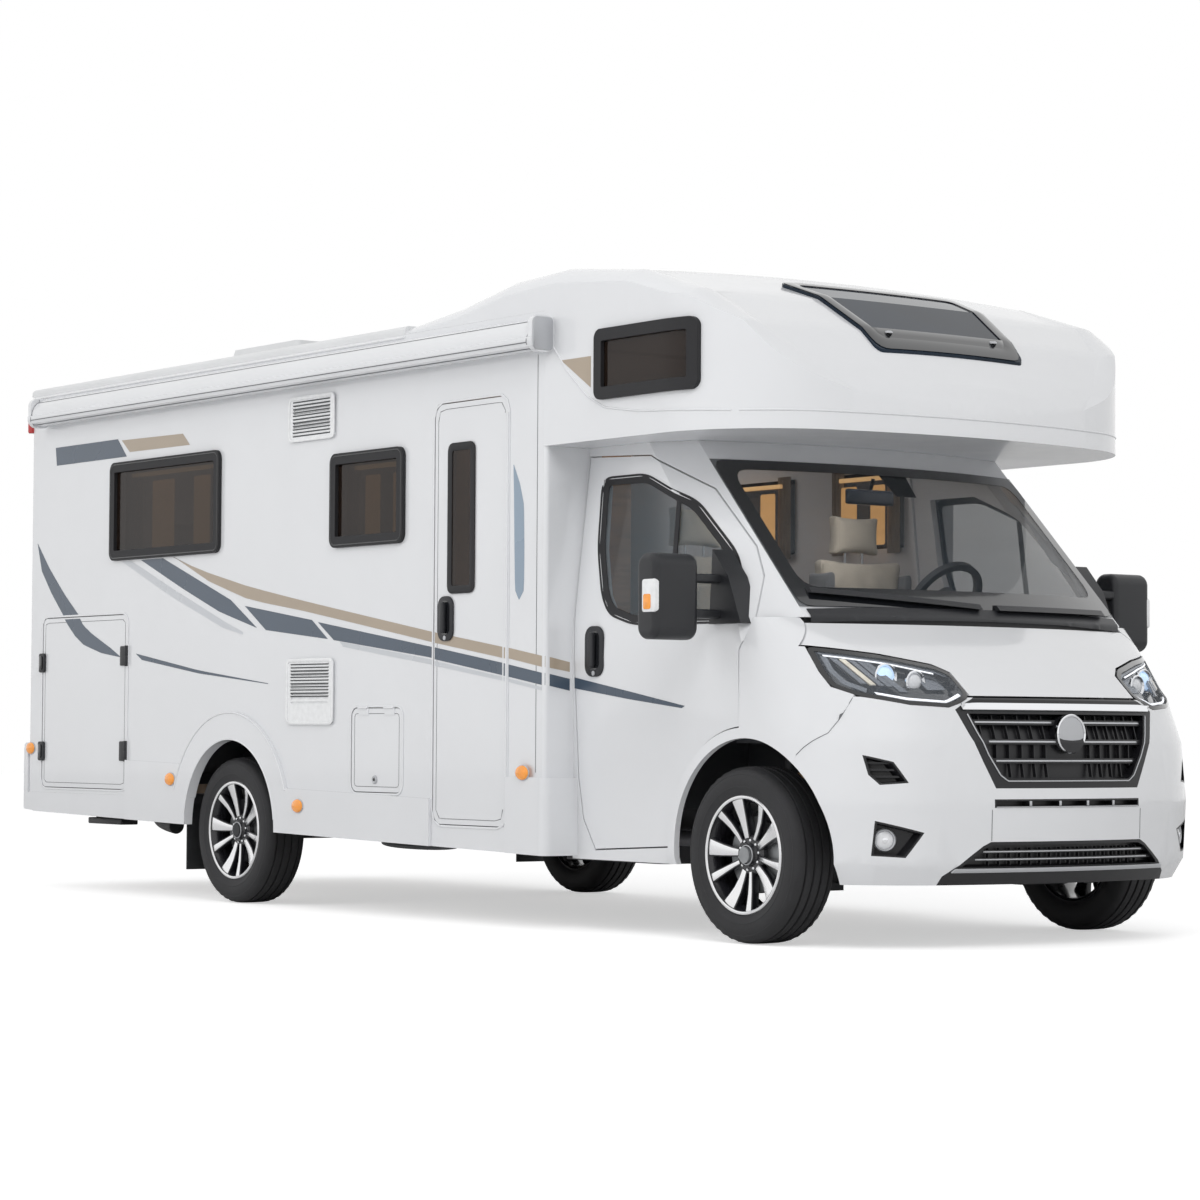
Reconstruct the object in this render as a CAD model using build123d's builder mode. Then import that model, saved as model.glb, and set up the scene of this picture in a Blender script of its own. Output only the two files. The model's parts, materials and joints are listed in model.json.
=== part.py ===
from build123d import *
import math
import os

os.makedirs("parts", exist_ok=True)

# Alcove motorhome on a front-wheel-drive van base. Millimetres, +X forward, +Y to the left,
# +Z up, the ground is Z = 0 and X = 0 is the middle of the vehicle's length.

# ---- driving dimensions -------------------------------------------------------------
body_half = 1160          # outer face of the side walls
cab_half = 1020           # widest half width of the base van
wall = 34                 # sandwich wall of the living body
seat_gap = 0.3            # clearance between pieces that are fastened together
shut_gap = 6              # gap round doors, lids and flaps
body_rear = -3260         # outer face of the rear wall
body_front = 1430         # front edge of the side walls
wall_low = 500            # lower edge of the walls
wall_high = 2600          # upper edge of the walls
roof_thick = 40
floor_low = 520
floor_thick = 45
front_axle = 2560
wheelbase = 3740
rear_axle = front_axle - wheelbase
tyre_radius = 350
tyre_width = 215
rim_radius = 238
rim_bore = 32             # centre bore of the rims
front_track = 1795
rear_track = 2 * body_half - 285
kingpin_half = 745        # steering axis, from the centreline
skirt_low_rear = 400      # skirt's lower edge at the rear bumper
skirt_low_front = 312     # and at the cab step
skirt_thick = 30
cab_skin = 50             # whole thickness of a cab door
panel = 26                # thickness of wings, bonnet and bumper
arch_drop = 360           # height of the centre of both wheel arches
front_arch_x = 2600
front_arch_radius = 450
rear_arch_x = -1130
rear_arch_radius = 424
arch_lip = 44             # width of the ring between a front arch and the door
glass = 6

floor_high = floor_low + floor_thick
wall_in = body_half - wall
roof_high = wall_high + roof_thick
sides = (-1, 1)
names = {-1: "right", 1: "left"}


# ---- shared shapes ------------------------------------------------------------------
def side_plane(side, inner, outer):
    """Plane of local x forward, local y up, from which +extrude runs towards -Y."""
    return Plane.XZ.offset(inner if side < 0 else -outer)


def plan_outline(rear, half, side_end, front, bow):
    """Seen from above: straight sides, round corners and a bowed front, all tangent."""
    reach = bow - (front - side_end)
    corner = (half ** 2 + reach ** 2 - bow ** 2) / (2 * (half - bow))
    turn = math.asin((half - corner) / (bow - corner))
    middle = (turn + math.pi / 2) / 2
    left = (side_end, half)
    bend = (side_end + corner * math.cos(middle), half - corner + corner * math.sin(middle))
    shoulder = (side_end + corner * math.cos(turn), half - corner + corner * math.sin(turn))
    Line((rear, -half), (side_end, -half))
    ThreePointArc((side_end, -half), (bend[0], -bend[1]), (shoulder[0], -shoulder[1]))
    ThreePointArc((shoulder[0], -shoulder[1]), (front, 0), shoulder)
    ThreePointArc(shoulder, bend, left)
    Line(left, (rear, half))
    Line((rear, half), (rear, -half))


# level: height, drawn in at the sides, end of the straight side, front, lean
nose_levels = (
    (250, 30, 2728, 3345, 0.5),
    (330, 5, 2772, 3385, 0),
    (560, 0, 2790, 3392, 0),
    (800, 0, 2745, 3384, 0),
    (965, 0, 2645, 3335, 1),
    (1090, 0, 2610, 3190, 1),
    (1180, 2, 2606, 3075, 1),
    (1285, 6, 2618, 2925, 1),
)
nose_rear = 2090
nose_bow = 2400           # radius of the bowed front


def nose_level(level, inset):
    height, narrow, side_end, front, lean = level
    plan_outline(nose_rear - inset, cab_half - narrow - inset, side_end - 0.25 * inset,
                 front - inset, nose_bow)


def nose_volume(inset, rise=0):
    """The van's front end as one closed volume, drawn in by the given thickness."""
    with BuildPart() as volume:
        for level in nose_levels:
            with BuildSketch(Plane.XY.offset(level[0] - level[-1] * inset)) as outline:
                with BuildLine():
                    nose_level(level, inset)
                make_face()
        loft(ruled=True)
        if rise:
            extrude(outline.sketch, amount=rise)
    return volume.part


# level: height, drawn in at the sides, end of the side, windscreen corner, windscreen centre
cab_levels = (
    (300, 20, 2600, (2760, 880), 2900),
    (1150, 0, 2590, (2770, 880), 2925),
    (1290, 5, 2545, (2785, 868), 2930),
    (2029.7, 90, 1860, (2061, 833), 2205),
)
cab_rear = 1436           # open rear edge of the cab, behind the doors


def cab_volume(inset, rear=cab_rear):
    """Cab from sill to header, drawn in by the given thickness."""
    with BuildPart() as volume:
        for height, narrow, side_end, corner, front in cab_levels:
            edge = (corner[0] - inset, corner[1] - 0.4 * inset)
            half = cab_half - narrow - inset
            with BuildSketch(Plane.XY.offset(height)):
                with BuildLine():
                    Polyline((edge[0], -edge[1]), (side_end, -half), (rear, -half), (rear, half),
                             (side_end, half), edge)
                    ThreePointArc((edge[0], -edge[1]), (front - inset, 0), edge)
                make_face()
        loft(ruled=True)
    return volume.part


# section: station, height of the side's edge, shoulder drawn in, shoulder height, crown
alcove_sections = (
    (360, 2600, 80, 2634, 2648),
    (760, 2628, 100, 2690, 2740),
    (1140, 2690, 115, 2764, 2810),
    (1500, 2708, 125, 2780, 2825),
    (2000, 2666, 130, 2722, 2752),
    (2380, 2560, 160, 2600, 2612),
    (2600, 2400, 230, 2452, 2466),
    (2740, 2060, 400, 2285, 2325),
    (2820, 1960, 560, 2170, 2235),
    (2900, 1900, 660, 2040, 2070),
)
alcove_base = 1800        # the sections start here and are cut off at the underside
alcove_low = 2030         # underside of the cap over the cab
alcove_side_end = 2240
alcove_front = 2875
alcove_bow = 3100
edge_bulge = 0.14         # roundness of the edge between side and crown
side_spare = 1            # the sections are this much wider than the outline that trims them


def alcove_volume(inset, drop=0):
    """Moulded cap over the cab, drawn in by the given thickness."""
    half = body_half - min(inset, 0) + side_spare
    with BuildPart() as volume:
        for station, edge, shoulder_in, shoulder_high, crown in alcove_sections:
            side = (half, edge - inset)
            shoulder = (body_half - shoulder_in, shoulder_high - inset)
            rise, run = shoulder[1] - side[1], side[0] - shoulder[0]
            bend = ((side[0] + shoulder[0]) / 2 + edge_bulge * rise,
                    (side[1] + shoulder[1]) / 2 + edge_bulge * run)
            with BuildSketch(Plane.YZ.offset(station)):
                with BuildLine():
                    Line((half, alcove_base), side)
                    ThreePointArc(side, bend, shoulder)
                    ThreePointArc(shoulder, (0, crown - inset), (-shoulder[0], shoulder[1]))
                    ThreePointArc((-shoulder[0], shoulder[1]), (-bend[0], bend[1]), (-half, side[1]))
                    Polyline((-half, side[1]), (-half, alcove_base), (half, alcove_base))
                make_face()
        loft(ruled=True)
        with BuildSketch(Plane.XY.offset(alcove_low - drop)):
            with BuildLine():
                plan_outline(340, body_half - inset, alcove_side_end - 0.2 * inset,
                             alcove_front - inset, alcove_bow)
            make_face()
        extrude(amount=1000, mode=Mode.INTERSECT)
    return volume.part


def rounded(opening, grow=0, mode=Mode.ADD):
    """A rounded rectangle: rear, front, low, high and corner radius."""
    rear, front, low, high, radius = opening
    with Locations(((rear + front) / 2, (low + high) / 2)):
        RectangleRounded(front - rear + 2 * grow, high - low + 2 * grow, max(radius + grow, 8),
                         mode=mode)


def side_prism(opening, grow=0):
    """The outline of a side opening, right through the vehicle."""
    with BuildPart() as prism:
        with BuildSketch(Plane.XZ.offset(-2 * body_half)):
            rounded(opening, grow)
        extrude(amount=4 * body_half)
    return prism.part


nose_outer, nose_inner = nose_volume(0), nose_volume(panel, 80)
cab_outer, cab_inner = cab_volume(0), cab_volume(cab_skin + 10, 1400)
alcove_outer, alcove_inner = alcove_volume(0), alcove_volume(wall, 60)

# ---- living body --------------------------------------------------------------------
# opening: rear, front, low, high, corner radius
garage_door = (-3095, -2175, 530, 1412, 40)
bed_window = (-2352, -1247, 1690, 2190, 45)
dinette_window = (-234, 378, 1668, 2100, 45)
entry_door = (616, 1173, 427, 2262, 60)
cook_window = (616, 1173, 1668, 2100, 45)
service_hatch = (-50, 365, 557, 932, 40)
rear_window = (-480, 480, 1560, 1990, 45)
alcove_window = (1803, 2445, 2193, 2484, 40)

frame_lap = 34            # width of the frame round a window, outside its opening
right_windows = (bed_window, dinette_window)
left_windows = (bed_window, dinette_window, cook_window)
wall_doors = {-1: (garage_door, entry_door, service_hatch), 1: (garage_door,)}
wall_windows = {-1: right_windows, 1: left_windows}


def wheel_arch_cut(centre, radius):
    with Locations((centre, arch_drop)):
        Circle(radius, mode=Mode.SUBTRACT)


for side in sides:
    with BuildPart() as side_wall:
        with BuildSketch(side_plane(side, wall_in, body_half)):
            with BuildLine():
                Polyline((body_rear + wall, wall_low), (body_front, wall_low),
                         (body_front, wall_high), (body_rear + wall, wall_high), close=True)
            make_face()
            for opening in wall_windows[side]:
                rounded(opening, -frame_lap, Mode.SUBTRACT)
            for opening in wall_doors[side]:
                rounded(opening, shut_gap, Mode.SUBTRACT)
            wheel_arch_cut(rear_arch_x, rear_arch_radius)
        extrude(amount=wall)
    label = "side_wall_" + names[side]
    side_wall.part.label = label
    export_step(side_wall.part, "parts/" + label + ".step")

corner_round = 30         # rear corners of the living body, seen from above
with BuildPart() as rear_wall:
    with BuildSketch(Plane.YZ.offset(body_rear)):
        with Locations((0, (wall_low + wall_high) / 2)):
            Rectangle(2 * body_half, wall_high - wall_low)
        rounded(rear_window, -frame_lap, Mode.SUBTRACT)
    extrude(amount=wall - seat_gap)
    upright = rear_wall.edges().filter_by(Axis.Z).group_by(Axis.X)[0].sort_by(Axis.Y)
    fillet([upright[0], upright[-1]], corner_round)
rear_wall.part.label = "rear_wall"
export_step(rear_wall.part, "parts/rear_wall.step")

roof_edge = 24            # bevel along the roof's sides and rear
with BuildPart() as main_roof:
    with BuildSketch(Plane.YZ.offset(body_rear)):
        with Locations((0, (wall_high + roof_high) / 2 + seat_gap / 2)):
            Rectangle(2 * body_half, roof_thick - seat_gap)
    extrude(amount=alcove_sections[0][0] - seat_gap - body_rear)
    along = main_roof.edges().filter_by(Axis.X).group_by(Axis.Z)[-1]
    across = main_roof.edges().filter_by(Axis.Y).group_by(Axis.Z)[-1].sort_by(Axis.X)[0]
    fillet([*along, across], roof_edge)
main_roof.part.label = "main_roof"
export_step(main_roof.part, "parts/main_roof.step")

wheel_box_inner = 880     # inner face of the rear wheel boxes
wheel_box_high = 800
floor_end = body_front - 30
with BuildPart() as habitation_floor:
    with BuildSketch(Plane.XY.offset(floor_low)):
        with Locations(((body_rear + wall + floor_end) / 2, 0)):
            Rectangle(floor_end - body_rear - wall, 2 * (wall_in - seat_gap))
        for side in sides:
            with Locations((rear_arch_x, side * (wheel_box_inner + wall_in) / 2)):
                Rectangle(2 * rear_arch_radius, wall_in - wheel_box_inner + 1, mode=Mode.SUBTRACT)
    extrude(amount=floor_thick)
habitation_floor.part.label = "habitation_floor"
export_step(habitation_floor.part, "parts/habitation_floor.step")

box_skin = 8
box_half = rear_arch_radius + 20
box_profile = ((-box_half, 0), (box_half, 0), (box_half, 60), (250, wheel_box_high - floor_high),
               (-250, wheel_box_high - floor_high), (-box_half, 60))
box_hollow = ((-box_half + box_skin, -5), (box_half - box_skin, -5), (box_half - box_skin, 55),
              (245, wheel_box_high - floor_high - box_skin),
              (-245, wheel_box_high - floor_high - box_skin), (-box_half + box_skin, 55))
with BuildPart() as wheel_boxes:
    for side in sides:
        box_outer = wall_in - seat_gap
        with BuildSketch(side_plane(side, wheel_box_inner, box_outer)):
            with Locations((rear_arch_x, floor_high + seat_gap)):
                Polygon(*box_profile, align=None)
        extrude(amount=box_outer - wheel_box_inner)
    for side in sides:
        hollow_inner = wheel_box_inner + box_skin
        with BuildSketch(side_plane(side, hollow_inner, wall_in)):
            with Locations((rear_arch_x, floor_high + seat_gap)):
                Polygon(*box_hollow, align=None)
        extrude(amount=wall_in - hollow_inner, mode=Mode.SUBTRACT)
wheel_boxes.part.label = "wheel_boxes"
export_step(wheel_boxes.part, "parts/wheel_boxes.step")

# ---- alcove -------------------------------------------------------------------------
alcove_floor_thick = 40
# roof window seen from above: (station, half width) at its rear and front edge
light_rear, light_front = (2165, 500), (2690, 405)
light_rim = 34
light_stand = 14


def light_region(grow=0):
    """The roof window's outline, grown or shrunk, as an upright prism."""
    with BuildPart() as region:
        with BuildSketch(Plane.XY.offset(2250)):
            Polygon((light_rear[0], -light_rear[1]), (light_front[0], -light_front[1]), light_front,
                    light_rear, align=None)
            fillet(vertices(), 36)
            if grow:
                offset(amount=grow)
        extrude(amount=700)
    return region.part


with BuildPart() as alcove_shell:
    add(alcove_outer)
    add(alcove_inner, mode=Mode.SUBTRACT)
    # the cap sits on the side walls and roof behind the wall's front edge
    with BuildSketch(Plane.XZ.offset(-2 * body_half)):
        with Locations(((body_front + seat_gap) / 2, 2000)):
            Rectangle(body_front + seat_gap, 2 * (wall_high + seat_gap - 2000))
    extrude(amount=4 * body_half, mode=Mode.SUBTRACT)
    add(side_prism(alcove_window, -frame_lap), mode=Mode.SUBTRACT)
    add(light_region(-light_rim), mode=Mode.SUBTRACT)
alcove_shell.part.label = "alcove_shell"
export_step(alcove_shell.part, "parts/alcove_shell.step")

with BuildPart() as alcove_floor:
    with BuildSketch(Plane.XY.offset(alcove_low)):
        with BuildLine():
            plan_outline(body_front + seat_gap, wall_in - seat_gap, alcove_side_end,
                         alcove_front - wall - seat_gap, alcove_bow)
        make_face()
    extrude(amount=alcove_floor_thick)
    add(alcove_volume(wall + seat_gap, 60), mode=Mode.INTERSECT)
alcove_floor.part.label = "alcove_floor"
export_step(alcove_floor.part, "parts/alcove_floor.step")

with BuildPart() as roof_light:
    add(alcove_volume(-light_stand))
    add(alcove_volume(-seat_gap), mode=Mode.SUBTRACT)
    add(light_region(), mode=Mode.INTERSECT)
roof_light.part.label = "roof_light"
export_step(roof_light.part, "parts/roof_light.step")

# ---- windows ------------------------------------------------------------------------
frame_stand = 18          # how far the window frames stand out of the wall
pane_lap = 16             # how far a frame covers its pane


def window_frame(plane, outward, opening):
    """A frame on the outside of the wall, round an opening."""
    with BuildPart() as frame:
        with BuildSketch(plane):
            rounded(opening)
            rounded(opening, -frame_lap - pane_lap, Mode.SUBTRACT)
        extrude(amount=outward * frame_stand)
    return frame.part


def window_pane(plane, outward, opening):
    with BuildPart() as pane:
        with BuildSketch(plane):
            rounded(opening, -frame_lap - seat_gap)
        extrude(amount=-outward * (wall - 8))
    return pane.part


with BuildPart() as window_frames:
    for opening in right_windows:
        add(window_frame(Plane.XZ.offset(body_half + seat_gap), 1, opening))
    for opening in left_windows:
        add(window_frame(Plane.XZ.offset(-body_half - seat_gap), -1, opening))
    add(window_frame(Plane.YZ.offset(body_rear - seat_gap), -1, rear_window))
    with BuildPart(mode=Mode.PRIVATE) as alcove_frames:
        add(alcove_volume(-frame_stand))
        add(alcove_volume(-seat_gap), mode=Mode.SUBTRACT)
        add(side_prism(alcove_window), mode=Mode.INTERSECT)
        add(side_prism(alcove_window, -frame_lap - pane_lap), mode=Mode.SUBTRACT)
    add(alcove_frames.part)
window_frames.part.label = "window_frames"
export_step(window_frames.part, "parts/window_frames.step")

with BuildPart() as window_panes:
    for opening in right_windows:
        add(window_pane(Plane.XZ.offset(body_half), 1, opening))
    for opening in left_windows:
        add(window_pane(Plane.XZ.offset(-body_half), -1, opening))
    add(window_pane(Plane.YZ.offset(body_rear), -1, rear_window))
    with BuildPart(mode=Mode.PRIVATE) as alcove_panes:
        add(alcove_outer)
        add(alcove_volume(wall - 8), mode=Mode.SUBTRACT)
        add(side_prism(alcove_window, -frame_lap - seat_gap), mode=Mode.INTERSECT)
    add(alcove_panes.part)
window_panes.part.label = "window_panes"
export_step(window_panes.part, "parts/window_panes.step")

# ---- skirts, arch lips and bumper ---------------------------------------------------
skirt_slope = (skirt_low_rear - skirt_low_front) / (1500 - body_rear)


def skirt_low(x):
    return skirt_low_rear - skirt_slope * (x - body_rear)


lip_stand = 16            # how far lips and skirt panels stand out of the body side
lip_width = 135
skirt_rear = body_rear + 60
door_clear = 12           # between a skirt panel and a door or hatch
# skirt panel: rear, front, upper edge at the rear and at the front
rear_panel = (garage_door[1] + door_clear, rear_arch_x, 678, 655)
mid_panel = (rear_arch_x, entry_door[0] - door_clear, 572, 536)
front_panel = (entry_door[1] + door_clear, body_front, 640, 640)
skirt_panels = {-1: (rear_panel, mid_panel, front_panel),
                1: (rear_panel, (rear_arch_x, body_front, 572, 536))}
with BuildPart() as side_skirts:
    for side in sides:
        with BuildSketch(side_plane(side, body_half - skirt_thick, body_half)):
            with BuildLine():
                Polyline((skirt_rear, skirt_low(skirt_rear)), (body_front, skirt_low(body_front)),
                         (body_front, wall_low - seat_gap), (skirt_rear, wall_low - seat_gap),
                         close=True)
            make_face()
            wheel_arch_cut(rear_arch_x, rear_arch_radius)
            if side < 0:
                rounded(entry_door, shut_gap, Mode.SUBTRACT)
        extrude(amount=skirt_thick)
    for side in sides:
        low_face = body_half + seat_gap
        with BuildSketch(side_plane(side, low_face, low_face + lip_stand)):
            with Locations((rear_arch_x, arch_drop)):
                Circle(rear_arch_radius + lip_width)
            for rear, front, high_rear, high_front in skirt_panels[side]:
                Polygon((rear, skirt_low(rear)), (front, skirt_low(front)), (front, high_front),
                        (rear, high_rear), align=None)
            with BuildLine(mode=Mode.PRIVATE) as under:
                Polyline((-4000, skirt_low(-4000)), (4000, skirt_low(4000)), (4000, -800),
                         (-4000, -800), close=True)
            add(make_face(under.line, mode=Mode.PRIVATE), mode=Mode.SUBTRACT)
            wheel_arch_cut(rear_arch_x, rear_arch_radius)
        extrude(amount=lip_stand)
side_skirts.part.label = "side_skirts"
export_step(side_skirts.part, "parts/side_skirts.step")

rear_bumper_back = -3400
bumper_wall = 30
bumper_outside = ((skirt_rear - seat_gap, 402), (-3330, 410), (rear_bumper_back + 8, 540),
                  (rear_bumper_back, 570), (rear_bumper_back, 680), (rear_bumper_back + 10, 700),
                  (body_rear - 20, 760), (body_rear - seat_gap, 760),
                  (body_rear - seat_gap, wall_low - seat_gap), (skirt_rear - seat_gap, wall_low - seat_gap))
bumper_inside = ((skirt_rear, 380), (-3300, 380), (-3362, 540), (-3370, 570), (-3370, 675),
                 (body_rear - 30, 730), (body_rear - 30, 470), (skirt_rear, 470))
with BuildPart() as rear_bumper:
    with BuildSketch(Plane.XZ.offset(-body_half)):
        Polygon(*bumper_outside, align=None)
    extrude(amount=2 * body_half)
    with BuildSketch(Plane.XY.offset(300)):
        with BuildLine():
            Polyline((skirt_rear, -body_half), (-3300, -body_half))
            ThreePointArc((-3300, -body_half), (-3372, 70 - body_half), (rear_bumper_back, 170 - body_half))
            ThreePointArc((rear_bumper_back, 170 - body_half), (rear_bumper_back - 0.2, 0),
                          (rear_bumper_back, body_half - 170))
            ThreePointArc((rear_bumper_back, body_half - 170), (-3372, body_half - 70), (-3300, body_half))
            Polyline((-3300, body_half), (skirt_rear, body_half), (skirt_rear, -body_half))
        make_face()
    extrude(amount=600, mode=Mode.INTERSECT)
    with BuildSketch(Plane.XZ.offset(bumper_wall - body_half)):
        Polygon(*bumper_inside, align=None)
    extrude(amount=2 * (body_half - bumper_wall), mode=Mode.SUBTRACT)
rear_bumper.part.label = "rear_bumper"
export_step(rear_bumper.part, "parts/rear_bumper.step")

# ---- cab ----------------------------------------------------------------------------
front_door_outline = ((1462, 1990), (1459, 1387), (1490, 640), (1520, 470), (1600, 345), (2120, 372),
                      (2560, 372), (2560, 1158), (2622, 1250), (2565, 1451), (2483, 1573),
                      (2220, 1817), (1880, 1971))
front_window_outline = ((1570, 1890), (1585, 1600), (1645, 1400), (1705, 1325), (1870, 1282),
                        (2560, 1275), (2490, 1440), (2420, 1545), (2170, 1765), (1860, 1890))
door_arch = front_arch_radius + arch_lip + 4
screen_outline = ((-865, 1328), (865, 1328), (837, 1949), (-837, 1949))
screen_aperture = ((-835, 1352), (835, 1352), (810, 1925), (-810, 1925))


def cab_door_sketch(grow=0):
    Polygon(*front_door_outline, align=None)
    with Locations((front_arch_x, arch_drop)):
        Circle(door_arch, mode=Mode.SUBTRACT)
    if grow:
        offset(amount=grow, kind=Kind.INTERSECTION)


def through_sides(outline=None, grow=0):
    """An outline seen from the side, or the cab door's, right through the vehicle."""
    with BuildPart() as prism:
        with BuildSketch(Plane.XZ.offset(-2 * body_half)):
            if outline:
                Polygon(*outline, align=None)
                if grow:
                    offset(amount=grow, kind=Kind.INTERSECTION)
            else:
                cab_door_sketch(grow)
        extrude(amount=4 * body_half)
    return prism.part


cab_front_cut = ((2090, 200), (2090, 372), (2480, 900), (2548, 1158), (2560, 1285.3), (3100, 1285.3),
                 (3100, 200))
with BuildPart() as cab_frame:
    add(cab_outer)
    add(cab_inner, mode=Mode.SUBTRACT)
    add(through_sides(grow=shut_gap), mode=Mode.SUBTRACT)
    with BuildSketch(Plane.YZ.offset(1900)):
        Polygon(*screen_aperture, align=None)
    extrude(amount=1200, mode=Mode.SUBTRACT)
    # below the screen the front end takes over
    with BuildSketch(Plane.XZ.offset(-2 * body_half)):
        Polygon(*cab_front_cut, align=None)
        with Locations((front_arch_x, arch_drop)):
            Circle(door_arch + shut_gap)
    extrude(amount=4 * body_half, mode=Mode.SUBTRACT)
cab_frame.part.label = "cab_frame"
export_step(cab_frame.part, "parts/cab_frame.step")

# closing panels between the wide living body and the narrow cab
fairing_thick = 20
step_high = 640
step_stand = 24
fairing_front = body_front + seat_gap + fairing_thick
fairing_low = skirt_low(fairing_front)
with BuildPart() as cab_fairings:
    for side in sides:
        for low, high, front, wide, turn in (
                (fairing_low, step_high, fairing_front + step_stand, body_half + lip_stand, 40),
                (step_high, cab_levels[-1][0], fairing_front, body_half, fairing_thick - 2)):
            with BuildSketch(Plane.XY.offset(low)):
                with BuildLine():
                    rear, inner, outer = body_front + seat_gap, side * 880, side * wide
                    Polyline((rear, outer), (rear, inner), (front, inner), (front, outer - side * turn))
                    RadiusArc((front, outer - side * turn), (front - turn, outer), -side * turn)
                    if front - turn > rear:
                        Line((front - turn, outer), (rear, outer))
                make_face()
            extrude(amount=high - low)
    add(cab_volume(-seat_gap, 1300), mode=Mode.SUBTRACT)
cab_fairings.part.label = "cab_fairings"
export_step(cab_fairings.part, "parts/cab_fairings.step")

with BuildPart() as windscreen:
    add(cab_volume(-glass - seat_gap))
    add(cab_volume(-seat_gap, 1300), mode=Mode.SUBTRACT)
    with BuildSketch(Plane.YZ.offset(2000)):
        Polygon(*screen_outline, align=None)
    extrude(amount=1200, mode=Mode.INTERSECT)
windscreen.part.label = "windscreen"
export_step(windscreen.part, "parts/windscreen.step")

glass_inset = 12
for side in sides:
    with BuildPart() as side_half:
        with Locations((2000, side * body_half, 1200)):
            Box(2000, 2 * body_half, 2400)
    with BuildPart() as cab_door:
        add(cab_outer)
        add(cab_volume(cab_skin, 1300), mode=Mode.SUBTRACT)
        add(through_sides(), mode=Mode.INTERSECT)
        add(side_half.part, mode=Mode.INTERSECT)
        add(through_sides(front_window_outline), mode=Mode.SUBTRACT)
    cab_door.part.label = "cab_door_" + names[side]
    export_step(cab_door.part, "parts/cab_door_" + names[side] + ".step")
    with BuildPart() as door_glass:
        add(cab_volume(glass_inset))
        add(cab_volume(glass_inset + glass, 1300), mode=Mode.SUBTRACT)
        add(through_sides(front_window_outline, -seat_gap), mode=Mode.INTERSECT)
        add(side_half.part, mode=Mode.INTERSECT)
    door_glass.part.label = "door_glass_" + names[side]
    export_step(door_glass.part, "parts/door_glass_" + names[side] + ".step")

# ---- front end ----------------------------------------------------------------------
# outlines seen from the front, as (half width, height)
bonnet_high = 1262
bonnet_outline = ((446, 979), (450, 1070), (506, 1103), (688, 1141), (931, 1174), (868, bonnet_high))
lamp_outline = ((926, 1167.3), (688, 1135), (506.5, 1097), (455.5, 1066.5), (451.5, 978), (502, 950), (558, 932),
                (700, 941), (842, 972), (905, 1010), (918, 1068))
grille_outline = ((440, 972), (500, 944), (533, 925), (492, 827), (440, 724), (385, 622))
grille_inside = ((475, 910), (446, 835), (405, 751), (353, 674), (327, 658))
slot_outline = ((392, 580), (392, 547))
lower_grille_outline = ((405, 416), (440, 400), (490, 366), (545, 326), (600, 285), (612, 240))
lower_grille_inside = ((392, 404), (436, 390), (484, 356), (530, 320))
intake_outline = ((875, 749), (788, 723), (742, 643), (833, 635), (863, 673))
fog_outline = ((848, 498), (687, 453), (750, 357), (854, 364))
fog_lamp = (806, 424)
fog_lamp_radius = 34
bumper_high = 972
# seam between wing and bumper, seen from the side
bumper_seam = ((2850, 600), (2895, 746), (2930, 778), (2970, 805), (3017, 832), (3043, 882),
               (3057, 928), (3066, bumper_high))


def front_region(outline, grow=0, middle=True):
    """A region of the front, right through the nose: across the middle, or one each side."""
    mirrored = [(-y, z) for y, z in reversed(outline)]
    with BuildPart() as region:
        with BuildSketch(Plane.YZ.offset(2600)):
            for points in ([(*outline, *mirrored)] if middle else [outline, mirrored]):
                Polygon(*points, align=None)
            if grow:
                offset(amount=grow, kind=Kind.INTERSECTION)
        extrude(amount=900)
    return region.part


with BuildPart() as cowl_behind:
    with BuildSketch(Plane.XY.offset(bonnet_high - 80)):
        with BuildLine():
            nose_level(nose_levels[-1], 0)
        make_face()
    extrude(amount=200)

with BuildPart() as bonnet:
    add(nose_outer)
    add(nose_inner, mode=Mode.SUBTRACT)
    add(front_region(bonnet_outline), mode=Mode.INTERSECT)
    add(cowl_behind.part, mode=Mode.SUBTRACT)
bonnet.part.label = "bonnet"
export_step(bonnet.part, "parts/bonnet.step")

lamp_deep = 90
with BuildPart() as headlights:
    add(nose_outer)
    add(nose_volume(lamp_deep, 80), mode=Mode.SUBTRACT)
    add(front_region(lamp_outline, -seat_gap, False), mode=Mode.INTERSECT)
    with BuildPart(mode=Mode.PRIVATE) as fog_lamps:
        with BuildSketch(Plane.YZ.offset(2900)):
            for side in sides:
                with Locations((side * fog_lamp[0], fog_lamp[1])):
                    Circle(fog_lamp_radius)
        extrude(amount=600)
        add(nose_volume(14), mode=Mode.INTERSECT)
        add(nose_volume(40 - seat_gap), mode=Mode.SUBTRACT)
    add(fog_lamps.part)
headlights.part.label = "headlights"
export_step(headlights.part, "parts/headlights.step")

backing_front, backing_rear = 40, 52      # depth of the closed back of a grille
slat_front, slat_rear = 14, 46
pocket_rim = 7


def grille_part(outline, inside, slat_heights, slat, middle=True):
    """A closed back, a rim from the surface down to it, and slats across."""
    with BuildPart() as piece:
        add(front_region(outline, -seat_gap, middle))
        with BuildPart(mode=Mode.PRIVATE) as hollow:
            add(nose_volume(-40))
            add(nose_volume(backing_front), mode=Mode.SUBTRACT)
            if inside:
                add(front_region(inside, 0, middle), mode=Mode.INTERSECT)
            else:
                add(front_region(outline, -pocket_rim, middle), mode=Mode.INTERSECT)
            for height in slat_heights:
                with BuildPart(mode=Mode.PRIVATE) as blade:
                    add(nose_volume(slat_front))
                    with Locations((3200, 0, height)):
                        Box(800, 2 * cab_half, slat, mode=Mode.INTERSECT)
                add(blade.part, mode=Mode.SUBTRACT)
        add(hollow.part, mode=Mode.SUBTRACT)
        add(nose_outer, mode=Mode.INTERSECT)
        add(nose_volume(backing_rear, 80), mode=Mode.SUBTRACT)
    return piece.part


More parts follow.
